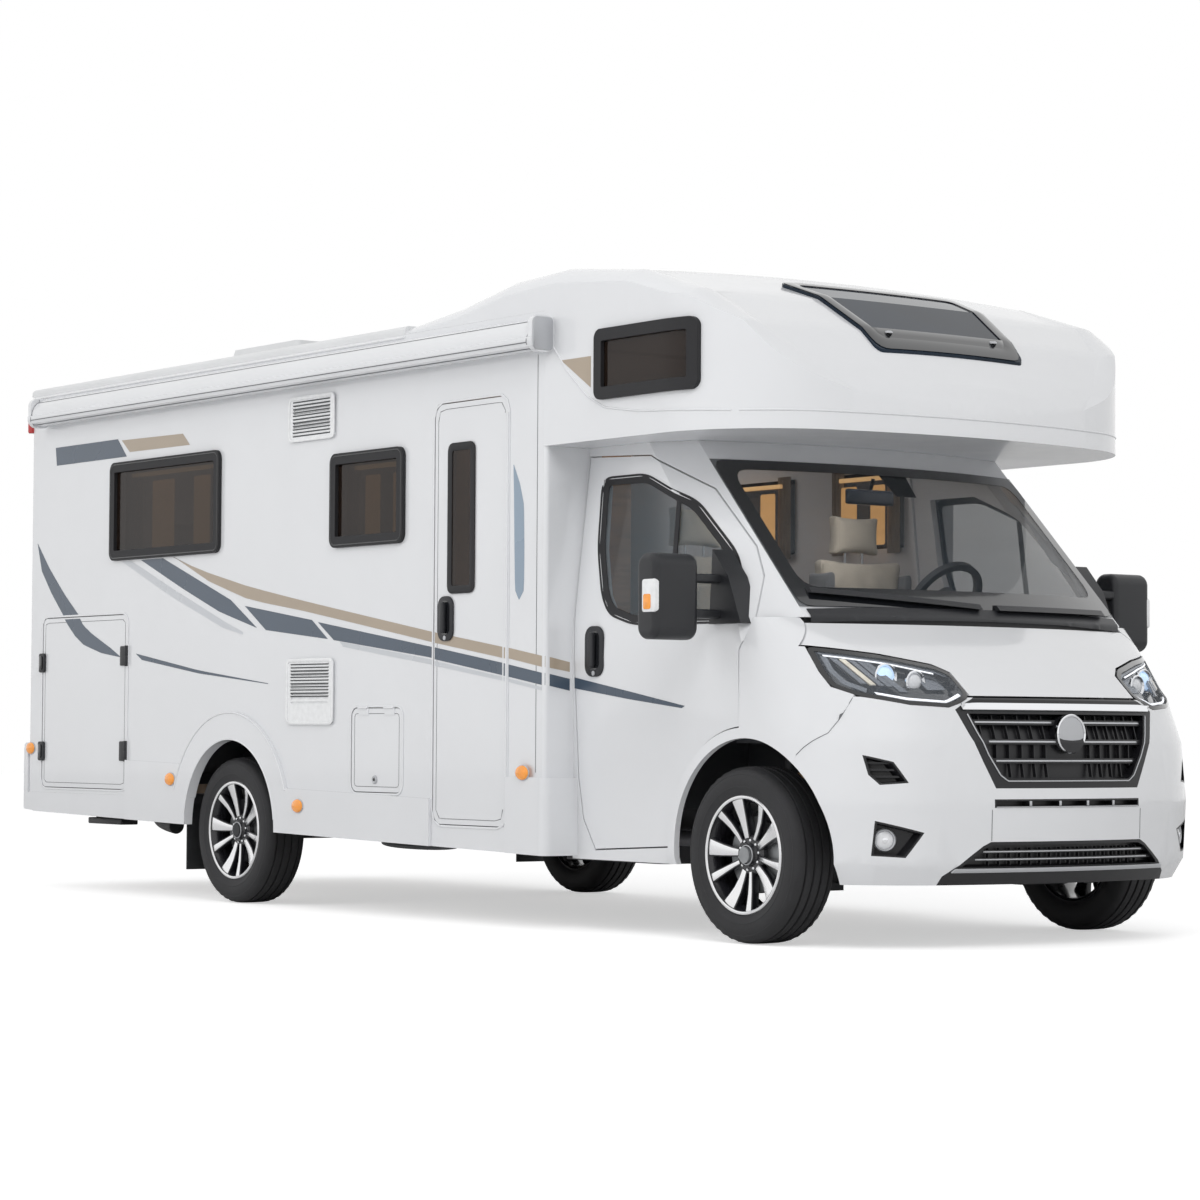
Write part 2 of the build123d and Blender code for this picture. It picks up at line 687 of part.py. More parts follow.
badge_radius = 74
badge_place = (0, 834)
slot_bars = (-225, -75, 75, 225)
with BuildPart() as grille:
    add(grille_part(grille_outline, grille_inside, (877, 802, 728), 20))
    add(grille_part(lower_grille_outline, lower_grille_inside, (378, 348), 12))
    add(grille_part(slot_outline, None, (), 0))
    add(grille_part(intake_outline, None, (718, 692, 666), 8, False))
    add(grille_part(fog_outline, None, (), 0, False))
    with BuildSketch(Plane.YZ.offset(3300)):
        with Locations(badge_place):
            Circle(badge_radius)
    extrude(amount=100)
    with BuildSketch(Plane.YZ.offset(3300)):
        for place in slot_bars:
            with Locations((place, (slot_outline[0][1] + slot_outline[1][1]) / 2)):
                Rectangle(12, slot_outline[0][1] - slot_outline[1][1] - 2 * pocket_rim)
    extrude(amount=100)
    add(nose_outer, mode=Mode.INTERSECT)
    add(nose_volume(backing_rear, 80), mode=Mode.SUBTRACT)
grille.part.label = "grille"
export_step(grille.part, "parts/grille.step")

with BuildPart() as front_bumper:
    add(nose_outer)
    add(nose_inner, mode=Mode.SUBTRACT)
    with BuildSketch(Plane.XZ.offset(-2 * body_half)):
        Polygon((2850, 240), *bumper_seam, (3500, bumper_high), (3500, 240), align=None)
        with Locations((front_arch_x, arch_drop)):
            Circle(front_arch_radius, mode=Mode.SUBTRACT)
    extrude(amount=4 * body_half, mode=Mode.INTERSECT)
    for outline, middle in ((grille_outline, True), (lower_grille_outline, True), (slot_outline, True),
                            (intake_outline, False), (fog_outline, False), (lamp_outline, False)):
        add(front_region(outline, 0, middle), mode=Mode.SUBTRACT)
    add(front_region(bonnet_outline, shut_gap), mode=Mode.SUBTRACT)
front_bumper.part.label = "front_bumper"
export_step(front_bumper.part, "parts/front_bumper.step")

wing_outline = ((2100, 300), (2850, 300), *[(x - seat_gap, z + seat_gap) for x, z in bumper_seam],
                (3066, 1100), (3066, 1285), (2643, 1285), (2630, 1250), (2567, 1158),
                (2567, 900), (2300, 900), (2100, 700))
with BuildPart() as front_wings:
    add(nose_outer)
    add(nose_inner, mode=Mode.SUBTRACT)
    with BuildSketch(Plane.XZ.offset(-2 * body_half)):
        Polygon(*wing_outline, align=None)
        with Locations((front_arch_x, arch_drop)):
            Circle(front_arch_radius, mode=Mode.SUBTRACT)
    extrude(amount=4 * body_half, mode=Mode.INTERSECT)
    # the door and its gap stay clear of the ring round the arch
    add(through_sides(grow=shut_gap), mode=Mode.SUBTRACT)
    add(front_region(lamp_outline, 0, False), mode=Mode.SUBTRACT)
    add(front_region(bonnet_outline + ((860, 1400),), shut_gap), mode=Mode.SUBTRACT)
front_wings.part.label = "front_wings"
export_step(front_wings.part, "parts/front_wings.step")

# ---- cab inside ---------------------------------------------------------------------
house_rear = 2075         # rear wall of the front wheel houses
house_high = 790
house_inner = 585
board = 20
firewall_x = 2560
firewall_high = 1240
inner_half = 938
firewall_half = 896       # clear of the doors' front edges as they swing inwards
floor_rear = 1400 + seat_gap
floor_profile_out = ((floor_rear, floor_low), (house_rear + board, floor_low),
                     (house_rear + board, house_high), (firewall_x + board, house_high),
                     (firewall_x + board, firewall_high), (firewall_x, firewall_high),
                     (firewall_x, house_high + board), (house_rear, house_high + board),
                     (house_rear, floor_high), (floor_rear, floor_high))
floor_profile_mid = ((floor_rear, floor_low), (house_rear + board, floor_low), (2460, 610),
                     (firewall_x + board, house_high), (firewall_x + board, firewall_high),
                     (firewall_x, firewall_high), (firewall_x, house_high + board), (2450, 650),
                     (house_rear, floor_high), (floor_rear, floor_high))
house_side = ((house_rear, floor_low), (firewall_x + board, 760), (firewall_x + board, house_high + board),
              (house_rear, house_high + board))
with BuildPart() as cab_floor:
    for low_half, high_half in ((-inner_half, -house_inner), (house_inner, inner_half)):
        with BuildSketch(Plane.XZ.offset(-high_half)):
            Polygon(*floor_profile_out, align=None)
        extrude(amount=high_half - low_half)
    with BuildSketch(Plane.XZ.offset(-house_inner)):
        Polygon(*floor_profile_mid, align=None)
    extrude(amount=2 * house_inner)
    for side in sides:
        with BuildSketch(side_plane(side, house_inner - board, house_inner)):
            Polygon(*house_side, align=None)
        extrude(amount=board)
    add(cab_volume(cab_skin + 12, 1390), mode=Mode.INTERSECT)
    for side in sides:
        with Locations((2600, side * (firewall_half + 100), 1100)):
            Box(400, 200, 800, mode=Mode.SUBTRACT)
cab_floor.part.label = "cab_floor"
export_step(cab_floor.part, "parts/cab_floor.step")

wheel_centre = (2200, 420, 1400)
wheel_ring = 185
wheel_grip = 30
column = 120              # free length of the steering column
wheel_plane = Plane(origin=wheel_centre, x_dir=(0, 1, 0), z_dir=(-0.819, 0, 0.574))
dash_rear = firewall_x - seat_gap
dash_profile = ((dash_rear, 1240), (dash_rear, 880), (2440, 860), (2350, 1020), (2330, 1230),
                (2380, 1305), (2500, 1320), (2800, 1275), (2800, 1245), (dash_rear, 1245))
with BuildPart() as dashboard:
    with BuildSketch(Plane.XZ.offset(-firewall_half)):
        Polygon(*dash_profile, align=None)
    extrude(amount=2 * firewall_half)
    add(cab_volume(120, 1300), mode=Mode.INTERSECT)
    with BuildSketch(wheel_plane.offset(-column - seat_gap)):
        Circle(40)
    extrude(amount=-160)
dashboard.part.label = "dashboard"
export_step(dashboard.part, "parts/dashboard.step")

seat_half = 250
seat_place = 450
seat_profile = ((1600, floor_high + seat_gap), (1980, floor_high + seat_gap), (1980, 920),
                (2080, 980), (2095, 1040), (2080, 1085), (1700, 1068), (1655, 1200), (1625, 1560),
                (1600, 1600), (1540, 1600), (1500, 1560), (1560, 1000), (1600, 930))
head_profile = ((1530, 1600), (1590, 1600), (1600, 1650), (1590, 1790), (1560, 1800), (1520, 1790),
                (1505, 1700))
with BuildPart() as cab_seats:
    for side in sides:
        for profile, half in ((seat_profile, seat_half), (head_profile, 130)):
            with BuildSketch(Plane.XZ.offset(-side * seat_place - half)):
                Polygon(*profile, align=None)
            extrude(amount=2 * half)
cab_seats.part.label = "cab_seats"
export_step(cab_seats.part, "parts/cab_seats.step")

with BuildPart() as steering_wheel:
    with BuildSketch(wheel_plane):
        Circle(wheel_ring)
        Circle(wheel_ring - wheel_grip, mode=Mode.SUBTRACT)
        Circle(55)
        Rectangle(2 * wheel_ring - 20, 36)
    extrude(amount=28)
    with BuildSketch(wheel_plane):
        Circle(22)
    extrude(amount=-column)
steering_wheel.part.label = "steering_wheel"
export_step(steering_wheel.part, "parts/steering_wheel.step")

# ---- living body inside -------------------------------------------------------------
room_low = floor_high + seat_gap
room_half = wall_in - seat_gap
bed_high = 1450
bulkhead = -2120
washroom_inner = 300
kitchen_inner = -560
dinette_inner = 500
seat_high = 1020
with BuildPart() as interior_units:
    # bed deck over the garage, bulkhead, kitchen block, washroom and the two dinette benches
    for rear, front, right, left, low, high in (
            (body_rear + wall + seat_gap, bulkhead, -room_half, room_half, bed_high, bed_high + 30),
            (bulkhead - 30, bulkhead, -600, 600, room_low, bed_high - seat_gap),
            (-440, 480, -room_half, kitchen_inner, room_low, 1480),
            (-1500, -640, washroom_inner, wheel_box_inner - 10, room_low, 2300),
            (-440, 100, dinette_inner, room_half, room_low, seat_high),
            (820, 1360, dinette_inner, room_half, room_low, seat_high)):
        with BuildSketch(Plane.XY.offset(low)):
            with Locations(((rear + front) / 2, (right + left) / 2)):
                Rectangle(front - rear, left - right)
        extrude(amount=high - low)
interior_units.part.label = "interior_units"
export_step(interior_units.part, "parts/interior_units.step")

cushion = 110
cushion_half = room_half - 45
with BuildPart() as cushions:
    for rear, front, right, left, low, thick in (
            (body_rear + 80, bulkhead - 30, -cushion_half, cushion_half, bed_high + 30 + seat_gap, 130),
            (1480, 2480, 210 - body_half, body_half - 210,
             alcove_low + alcove_floor_thick + seat_gap, cushion),
            (-430, 90, dinette_inner + 10, cushion_half, seat_high + seat_gap, cushion),
            (830, 1350, dinette_inner + 10, cushion_half, seat_high + seat_gap, cushion)):
        with BuildSketch(Plane.XY.offset(low)):
            with Locations(((rear + front) / 2, (right + left) / 2)):
                Rectangle(front - rear, left - right)
        extrude(amount=thick)
cushions.part.label = "cushions"
export_step(cushions.part, "parts/cushions.step")

# ---- things on the outside ----------------------------------------------------------
awning_rear, awning_front = -3080, 1500
awning_low, awning_high, awning_stand = 2425, 2565, 118
with BuildPart() as awning_case:
    with BuildSketch(Plane.YZ.offset(awning_rear)):
        with BuildLine():
            back = -body_half - seat_gap
            face = back - awning_stand
            Polyline((back, awning_high), (back, awning_low + 10), (back - 60, awning_low),
                     (face + 6, awning_low + 14), (face, awning_low + 30), (face, awning_low + 52),
                     (face + 8, awning_low + 56))
            ThreePointArc((face + 8, awning_low + 56), (face + 26, awning_high - 32),
                          (back - 40, awning_high))
            Line((back - 40, awning_high), (back, awning_high))
        make_face()
    extrude(amount=awning_front - awning_rear)
    # end caps stand a little proud of the case
    for place in (awning_rear, awning_front - 30):
        with BuildSketch(Plane.YZ.offset(place)):
            with Locations(((face + back) / 2 + 2, (awning_low + awning_high) / 2)):
                RectangleRounded(awning_stand - 4.1, awning_high - awning_low + 14, 40)
        extrude(amount=30)
    with Locations((0, back + 10, awning_low)):
        Box(2 * -awning_rear, 20, 400, mode=Mode.SUBTRACT)
awning_case.part.label = "awning_case"
export_step(awning_case.part, "parts/awning_case.step")

roof_top = roof_high + seat_gap
with BuildPart() as roof_fittings:
    # cooler, satellite dish and roof dome: centre, size, corner radius, height and taper
    for centre, size, radius, high, slope in (((-2135, -150), (770, 620), 90, 195, 18),
                                              ((-350, 0), (700, 500), 70, 90, 24)):
        with BuildSketch(Plane.XY.offset(roof_top)):
            with Locations(centre):
                RectangleRounded(*size, radius)
        extrude(amount=high, taper=slope)
    for low, radius, high in ((0, 120, 120), (120, 325, 24), (144, 285, 30), (174, 190, 20)):
        with BuildSketch(Plane.XY.offset(roof_top + low)):
            with Locations((-1330, 200)):
                Circle(radius)
        extrude(amount=high)
roof_fittings.part.label = "roof_fittings"
export_step(roof_fittings.part, "parts/roof_fittings.step")

vent_stand = 9
vent_back = 3
upper_vent = (-605, -217, 2187, 2380, 12)
lower_vent = (-605, -210, 868, 1155, 12)
with BuildPart() as wall_vents:
    vent_plane = Plane.XZ.offset(body_half + seat_gap)
    # louvres: first, step and count, over part of each vent
    for vent, first, step, count in ((upper_vent, 2222, 21, 7), (lower_vent, 960, 21, 8)):
        with BuildSketch(vent_plane):
            rounded(vent)
        extrude(amount=vent_stand)
        with BuildSketch(vent_plane.offset(vent_back)):
            for number in range(count):
                with Locations(((vent[0] + vent[1]) / 2, first + step * number)):
                    SlotOverall(vent[1] - vent[0] - 70, 10)
        extrude(amount=vent_stand - vent_back, mode=Mode.SUBTRACT)
wall_vents.part.label = "wall_vents"
export_step(wall_vents.part, "parts/wall_vents.step")

marker_places = ((-1690, 588), (-486, 481), (1318, 665))
lamp_face = body_half + lip_stand + 2 * seat_gap
with BuildPart() as marker_lights:
    for side in sides:
        with BuildSketch(side_plane(side, lamp_face, lamp_face + 14)):
            for x, z in marker_places[:2] if side > 0 else marker_places:
                with Locations((x, z if side < 0 or x < 0 else z - 180)):
                    SlotOverall(86, 54)
        extrude(amount=14)
marker_lights.part.label = "marker_lights"
export_step(marker_lights.part, "parts/marker_lights.step")

with BuildPart() as rear_lights:
    for side in sides:
        for low, high, inward in ((900, 1330, 170), (2350, 2470, 100)):
            with BuildSketch(Plane.YZ.offset(body_rear - seat_gap)):
                with Locations((side * (body_half - inward), (low + high) / 2)):
                    RectangleRounded(120, high - low, 40)
            extrude(amount=-32)
rear_lights.part.label = "rear_lights"
export_step(rear_lights.part, "parts/rear_lights.step")

cowl_low, cowl_high = 1250, 1285
cowl_half = 850
cowl_set_back = 12
wiper_deep = 26
with BuildPart() as cowl_and_wipers:
    # cowl under the windscreen, set back from the bonnet's rear edge
    with BuildSketch(Plane.XY.offset(cowl_low)):
        with BuildLine():
            nose_level(nose_levels[-1], cowl_set_back)
        make_face()
        with BuildLine():
            nose_level(nose_levels[-1], cowl_set_back + panel)
        make_face(mode=Mode.SUBTRACT)
        with Locations((2800, 0)):
            Rectangle(400, 2 * cowl_half, mode=Mode.INTERSECT)
    extrude(amount=cowl_high - cowl_low)
    with BuildPart(mode=Mode.PRIVATE) as blades:
        add(cab_volume(-glass - seat_gap - wiper_deep))
        add(cab_volume(-glass - 2 * seat_gap, 1300), mode=Mode.SUBTRACT)
        with BuildSketch(Plane.YZ.offset(2500)):
            for centre, length, lean in (((-420, 1370), 760, -4), ((400, 1342), 700, 0)):
                with Locations(Location(centre, lean)):
                    Rectangle(length, 22)
        extrude(amount=700, mode=Mode.INTERSECT)
    add(blades.part)
cowl_and_wipers.part.label = "cowl_and_wipers"
export_step(cowl_and_wipers.part, "parts/cowl_and_wipers.step")

# ---- running gear -------------------------------------------------------------------
rail_inner, rail_outer = 450, 510
rail_low, rail_high = 420, floor_low - seat_gap
front_rail_half = 470
rail_wide = rail_outer - rail_inner
rail_back = -3180
member_places = (-3120, -2100, -500, 500, 1380, 2030)
tow_hole, tow_spacing_y, tow_spacing_z = 8.5, 83, 56
tow_face, tow_plate = -3340, 12
tow_member = member_places[0]
tow_height = 345
flap_place = -1610        # mud flaps behind the rear wheels
with BuildPart() as chassis_frame:
    for side in sides:
        for inner, rear, front in ((rail_inner, rail_back, house_rear),
                                   (front_rail_half, house_rear + board + seat_gap, 3230)):
            with BuildSketch(side_plane(side, inner, inner + rail_wide)):
                Polygon((rear, rail_low), (front, rail_low), (front, rail_high), (rear, rail_high),
                        align=None)
            extrude(amount=rail_wide)
        # mud flap on an outrigger from the rail
        flap_outer = body_half - skirt_thick - 12
        with Locations((flap_place, side * (rail_outer + flap_outer) / 2, rail_high - 30)):
            Box(40, flap_outer - rail_outer, 50)
        with Locations((flap_place - 14, side * (flap_outer - 125), 310)):
            Box(8, 250, 330)
    for place in member_places:
        with BuildSketch(Plane.XY.offset(rail_low + 10)):
            with Locations((place, 0)):
                Rectangle(60, 2 * (rail_inner - seat_gap))
        extrude(amount=80)
    with BuildSketch(Plane.YZ.offset(tow_member + 25)):
        with Locations((0, tow_height)):
            Rectangle(110, 50)
    extrude(amount=tow_face + tow_plate - tow_member - 25)
    with BuildSketch(Plane.XY.offset(tow_height)):
        with Locations((tow_member, 0)):
            Rectangle(50, 110)
    extrude(amount=rail_low + 10 - seat_gap - tow_height)
    with BuildSketch(Plane.YZ.offset(tow_face)):
        with Locations((0, tow_height)):
            Rectangle(140, 110)
            with GridLocations(tow_spacing_y, tow_spacing_z, 2, 2):
                Circle(tow_hole, mode=Mode.SUBTRACT)
    extrude(amount=tow_plate)
chassis_frame.part.label = "chassis_frame"
export_step(chassis_frame.part, "parts/chassis_frame.step")

beam_radius = 45
rear_inner = rear_track / 2 - tyre_width / 2
with BuildPart() as rear_axle_set:
    with BuildSketch(Plane.XZ.offset(-rear_inner + 40)):
        with Locations((rear_axle, tyre_radius)):
            Circle(beam_radius)
    extrude(amount=2 * rear_inner - 80)
    for side in sides:
        # hub drum, then the stub that carries the rim
        for start, long, radius in ((rear_inner - 60, 150, 100),
                                    (rear_inner + 90, 100, rim_bore - seat_gap)):
            with BuildSketch(side_plane(side, start, start + long)):
                with Locations((rear_axle, tyre_radius)):
                    Circle(radius)
            extrude(amount=long)
    for side in sides:
        with BuildSketch(side_plane(side, rail_inner, rail_outer)):
            with Locations((rear_axle, (tyre_radius + beam_radius + rail_low) / 2)):
                Rectangle(1100, rail_low - tyre_radius - beam_radius - 2 * seat_gap)
        extrude(amount=rail_wide)
rear_axle_set.part.label = "rear_axle"
export_step(rear_axle_set.part, "parts/rear_axle.step")

post_radius = 24
post_low, post_high = 235, 600
beam_low, beam_high = 230, 300
arm_thick = 34
with BuildPart() as front_subframe:
    with BuildSketch(Plane.XY.offset(beam_low)):
        with Locations((front_axle, 0)):
            Rectangle(170, 2 * (front_rail_half + rail_wide))
    extrude(amount=beam_high - beam_low)
    for side in sides:
        with BuildSketch(side_plane(side, front_rail_half, front_rail_half + rail_wide)):
            with Locations((front_axle, (beam_high + rail_low - seat_gap) / 2)):
                Rectangle(120, rail_low - beam_high - seat_gap)
        extrude(amount=rail_wide)
        with BuildSketch(Plane.XY.offset(post_low - seat_gap - arm_thick)):
            with Locations((front_axle, side * ((front_rail_half + rail_wide + kingpin_half) / 2 - 20))):
                Rectangle(50, kingpin_half - front_rail_half - rail_wide + 40)
            with Locations((front_axle, side * kingpin_half)):
                Circle(28)
        extrude(amount=arm_thick)
    for side in sides:
        with BuildSketch(Plane.XY.offset(post_high + seat_gap)):
            with Locations((front_axle, side * kingpin_half)):
                Circle(25)
        extrude(amount=house_high - post_high - 2 * seat_gap)
front_subframe.part.label = "front_subframe"
export_step(front_subframe.part, "parts/front_subframe.step")

with BuildPart() as engine_block:
    with BuildSketch(Plane.XY.offset(340)):
        with Locations((2890, 0)):
            Rectangle(440, 2 * (front_rail_half - seat_gap))
    extrude(amount=600)
engine_block.part.label = "engine_block"
export_step(engine_block.part, "parts/engine_block.step")

tank_outer = body_half - 160
pipe_radius = 32
pipe_line = (-900, 1900, -620)    # rear end, front end and side place of the exhaust
pipe_height = 385
with BuildPart() as underfloor_tanks:
    for rear, front, right, left, low in ((-420, 420, -440, -40, 300), (600, 1330, -440, 440, 260),
                                          (-420, 420, 560, tank_outer, 330)):
        with BuildSketch(Plane.XY.offset(low)):
            with Locations(((rear + front) / 2, (right + left) / 2)):
                RectangleRounded(front - rear, left - right, 40)
        extrude(amount=floor_low - seat_gap - low)
    # exhaust: pipe, silencer and two hangers up to the floor
    with BuildSketch(Plane.YZ.offset(pipe_line[0])):
        with Locations((pipe_line[2], pipe_height)):
            Circle(pipe_radius)
    extrude(amount=pipe_line[1] - pipe_line[0])
    with BuildSketch(Plane.YZ.offset(150)):
        with Locations((pipe_line[2], pipe_height)):
            RectangleRounded(180, 130, 60)
    extrude(amount=500)
    for place in (-700, 1250):
        with Locations((place, pipe_line[2], (pipe_height + floor_low - seat_gap) / 2)):
            Box(30, 30, floor_low - seat_gap - pipe_height)
underfloor_tanks.part.label = "underfloor_tanks"
export_step(underfloor_tanks.part, "parts/underfloor_tanks.step")

hub_radius = 62
disc_radius = 140
for side in sides:
    with BuildPart() as knuckle:
        with BuildSketch(Plane.XY.offset(post_low)):
            with Locations((front_axle, side * kingpin_half)):
                Circle(post_radius)
        extrude(amount=post_high - post_low)
        middle = front_track / 2
        for start, end, radius in ((kingpin_half - 20, middle - 10, hub_radius),
                                   (middle - 45, middle - 20, disc_radius),
                                   (middle - 10, middle + 90, rim_bore - seat_gap)):
            with BuildSketch(side_plane(side, start, end)):
                with Locations((front_axle, tyre_radius)):
                    Circle(radius)
            extrude(amount=end - start)
    knuckle.part.label = "knuckle_" + names[side]
    export_step(knuckle.part, "parts/knuckle_" + names[side] + ".step")

spoke_count = 8
barrel = 16               # wall of the rim barrel
window_inner, window_outer = 92, 212
# a wheel window between two spokes, seen from outside
window_shape = ((window_inner, -11), (window_inner, 11), (150, 34), (window_outer - 6, 62),
                (window_outer, 0), (window_outer - 6, -62), (150, -34))
tyre_profile = ((12, rim_radius), (0, rim_radius + 40), (0, tyre_radius - 38), (12, tyre_radius - 10),
                (34, tyre_radius), (tyre_width - 34, tyre_radius), (tyre_width - 12, tyre_radius - 10),
                (tyre_width, tyre_radius - 38), (tyre_width, rim_radius + 40), (tyre_width - 12, rim_radius))
for end, axle, track in (("front", front_axle, front_track), ("rear", rear_axle, rear_track)):
    for side in sides:
        wheel = end + "_" + names[side]
        inner = track / 2 - tyre_width / 2
        hub_plane = Plane(origin=(axle, 0, tyre_radius), x_dir=(1, 0, 0), z_dir=(0, side, 0))
        with BuildPart() as tyre:
            with BuildSketch(Plane(origin=(axle, 0, tyre_radius), x_dir=(0, side, 0), z_dir=(1, 0, 0))):
                Polygon(*[(inner + across, radius) for across, radius in tyre_profile], align=None)
            revolve(axis=Axis((axle, 0, tyre_radius), (0, 1, 0)))
        tyre.part.label = "tyre_" + wheel
        export_step(tyre.part, "parts/tyre_" + wheel + ".step")
        with BuildPart() as rim:
            with BuildSketch(hub_plane.offset(inner + 5)):
                Circle(rim_radius - seat_gap)
                Circle(rim_radius - barrel, mode=Mode.SUBTRACT)
            extrude(amount=tyre_width - 12)
            with BuildSketch(hub_plane.offset(track / 2 + 46)):
                Circle(rim_radius - barrel + 4)
                Circle(rim_bore, mode=Mode.SUBTRACT)
                with PolarLocations(0, spoke_count, start_angle=22.5):
                    Polygon(*window_shape, align=None, mode=Mode.SUBTRACT)
            extrude(amount=40)
        rim.part.label = "rim_" + wheel
        export_step(rim.part, "parts/rim_" + wheel + ".step")

# ---- doors, lids and mirrors --------------------------------------------------------
hinge_leaf = 4
door_light = (726, 926, 1433, 2083, 30)
# flap: name, opening, sides, hinge stand, barrel radius, barrel ends along the hinge
flaps = (
    ("garage_door", garage_door, sides, 9, 8, ((1163, 1245), (680, 762))),
    ("entry_door", entry_door, (-1,), 6, 5, ((500, 2190),)),
    ("service_hatch", service_hatch, (-1,), 6, 5, ((10, 90), (225, 305))),
)
for name, opening, flap_sides, stand, barrel_radius, barrels in flaps:
    for side in flap_sides:
        label = name if len(flap_sides) == 1 else name + "_" + names[side]
        axis_out = side * (body_half + stand)
        with BuildPart() as flap:
            with BuildSketch(side_plane(side, wall_in, body_half)):
                rounded(opening)
                if name == "entry_door":
                    rounded(door_light, 0, Mode.SUBTRACT)
            extrude(amount=wall)
            for start, stop in barrels:
                leaf_out = side * (body_half + hinge_leaf / 2 - 0.5)
                if name == "service_hatch":
                    edge = opening[3] + shut_gap / 2
                    with BuildSketch(Plane.YZ.offset(start)):
                        with Locations((axis_out, edge)):
                            Circle(barrel_radius)
                    extrude(amount=stop - start)
                    with Locations(((start + stop) / 2, leaf_out, edge - 16)):
                        Box(stop - start, hinge_leaf + 1, 32)
                else:
                    edge = opening[1] + shut_gap / 2
                    with BuildSketch(Plane.XY.offset(start)):
                        with Locations((edge, axis_out)):
                            Circle(barrel_radius)
                    extrude(amount=stop - start)
                    with Locations((edge - 16, leaf_out, (start + stop) / 2)):
                        Box(32, hinge_leaf + 1, stop - start)
        flap.part.label = label
        export_step(flap.part, "parts/" + label + ".step")

with BuildPart() as entry_door_pane:
    with BuildSketch(side_plane(-1, body_half - 20, body_half + 4)):
        rounded(door_light, -seat_gap)
    extrude(amount=24)
entry_door_pane.part.label = "entry_door_pane"
export_step(entry_door_pane.part, "parts/entry_door_pane.step")

mirror_inner, mirror_outer = cab_half + 130, cab_half + 350
mirror_low, mirror_high = 1195, 1535
mirror_base = ((2400, 1262), (2600, 1262), (2520, 1450), (2420, 1560))
for side in sides:
    with BuildPart() as mirror:
        with BuildSketch(side_plane(side, mirror_inner, mirror_outer)):
            with Locations((2415, (mirror_low + mirror_high) / 2)):
                RectangleRounded(130, mirror_high - mirror_low, 50)
        extrude(amount=mirror_outer - mirror_inner)
        fillet(mirror.edges().group_by(Axis.Y)[0] + mirror.edges().group_by(Axis.Y)[-1], 28)
        for height in (1300, 1440):
            with BuildSketch(side_plane(side, cab_half - 20, mirror_inner + 10)):
                with Locations((2440, height)):
                    RectangleRounded(62, 36, 10)
            extrude(amount=mirror_inner + 30 - cab_half)
        with BuildSketch(side_plane(side, cab_half - 80, cab_half + 20)):
            Polygon(*mirror_base, align=None)
        extrude(amount=100)
        add(cab_volume(-seat_gap, 1300), mode=Mode.SUBTRACT)
    mirror.part.label = "mirror_" + names[side]
    export_step(mirror.part, "parts/mirror_" + names[side] + ".step")

# ---- pins and buffers ---------------------------------------------------------------
# a short pin on each cab door's hinge axis fills the gap above the arch, and two rubber
# buffers between headlights and bonnet carry the closed bonnet
pin_radius = 2.5
door_hinge = (2555, cab_half - 5)
buffer_radius = 5
buffer_half = 600
lamp_slope = (lamp_outline[1][1] - lamp_outline[2][1]) / (lamp_outline[1][0] - lamp_outline[2][0])
buffer_low = lamp_outline[2][1] + lamp_slope * (buffer_half - lamp_outline[2][0])
bonnet_slope = (bonnet_outline[3][1] - bonnet_outline[2][1]) / (bonnet_outline[3][0] - bonnet_outline[2][0])
buffer_high = bonnet_outline[2][1] + bonnet_slope * (buffer_half - bonnet_outline[2][0])
buffer_lean = (1 + lamp_slope ** 2) ** 0.5
buffer_place = 3035
with BuildPart() as pins_and_buffers:
    for side in sides:
        with BuildSketch(Plane.XY.offset(arch_drop + door_arch - shut_gap - 1.6)):
            with Locations((door_hinge[0], side * door_hinge[1])):
                Circle(pin_radius)
        extrude(amount=shut_gap - 1)
        lean = (0, -side * lamp_slope / buffer_lean, 1 / buffer_lean)
        seat = Plane(origin=(buffer_place, side * buffer_half, buffer_low), x_dir=(1, 0, 0), z_dir=lean)
        with BuildSketch(seat.offset(seat_gap)):
            Circle(buffer_radius)
        extrude(amount=(buffer_high - buffer_low) / buffer_lean - 2 * seat_gap)
pins_and_buffers.part.label = "pins_and_buffers"
export_step(pins_and_buffers.part, "parts/pins_and_buffers.step")
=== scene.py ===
import bpy, json, math
from mathutils import Matrix, Vector
from mathutils.bvhtree import BVHTree

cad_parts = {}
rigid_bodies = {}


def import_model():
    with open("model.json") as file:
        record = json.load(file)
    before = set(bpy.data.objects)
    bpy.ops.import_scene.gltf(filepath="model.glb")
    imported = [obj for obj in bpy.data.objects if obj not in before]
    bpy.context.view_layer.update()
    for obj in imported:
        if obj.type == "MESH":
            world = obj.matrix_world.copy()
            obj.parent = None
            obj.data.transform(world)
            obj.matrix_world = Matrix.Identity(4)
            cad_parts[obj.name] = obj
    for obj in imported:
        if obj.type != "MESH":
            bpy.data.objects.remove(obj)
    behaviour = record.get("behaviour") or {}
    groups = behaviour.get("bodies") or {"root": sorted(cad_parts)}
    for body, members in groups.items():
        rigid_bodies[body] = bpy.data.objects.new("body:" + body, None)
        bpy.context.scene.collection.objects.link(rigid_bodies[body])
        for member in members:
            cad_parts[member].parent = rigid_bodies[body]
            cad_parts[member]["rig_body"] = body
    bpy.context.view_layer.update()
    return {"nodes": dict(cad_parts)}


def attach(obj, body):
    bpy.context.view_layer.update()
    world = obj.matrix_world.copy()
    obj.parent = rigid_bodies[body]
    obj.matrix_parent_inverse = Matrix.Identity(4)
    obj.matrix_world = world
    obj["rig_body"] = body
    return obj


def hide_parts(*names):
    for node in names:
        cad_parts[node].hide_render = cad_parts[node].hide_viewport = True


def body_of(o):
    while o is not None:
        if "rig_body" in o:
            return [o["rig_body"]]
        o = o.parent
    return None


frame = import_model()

nodes = frame["nodes"]
sides = {"right": -1, "left": 1}
xAxis, zAxis = Vector((1, 0, 0)), Vector((0, 0, 1))
mergeGap = 0.00002   # points of a new mesh closer than this are one
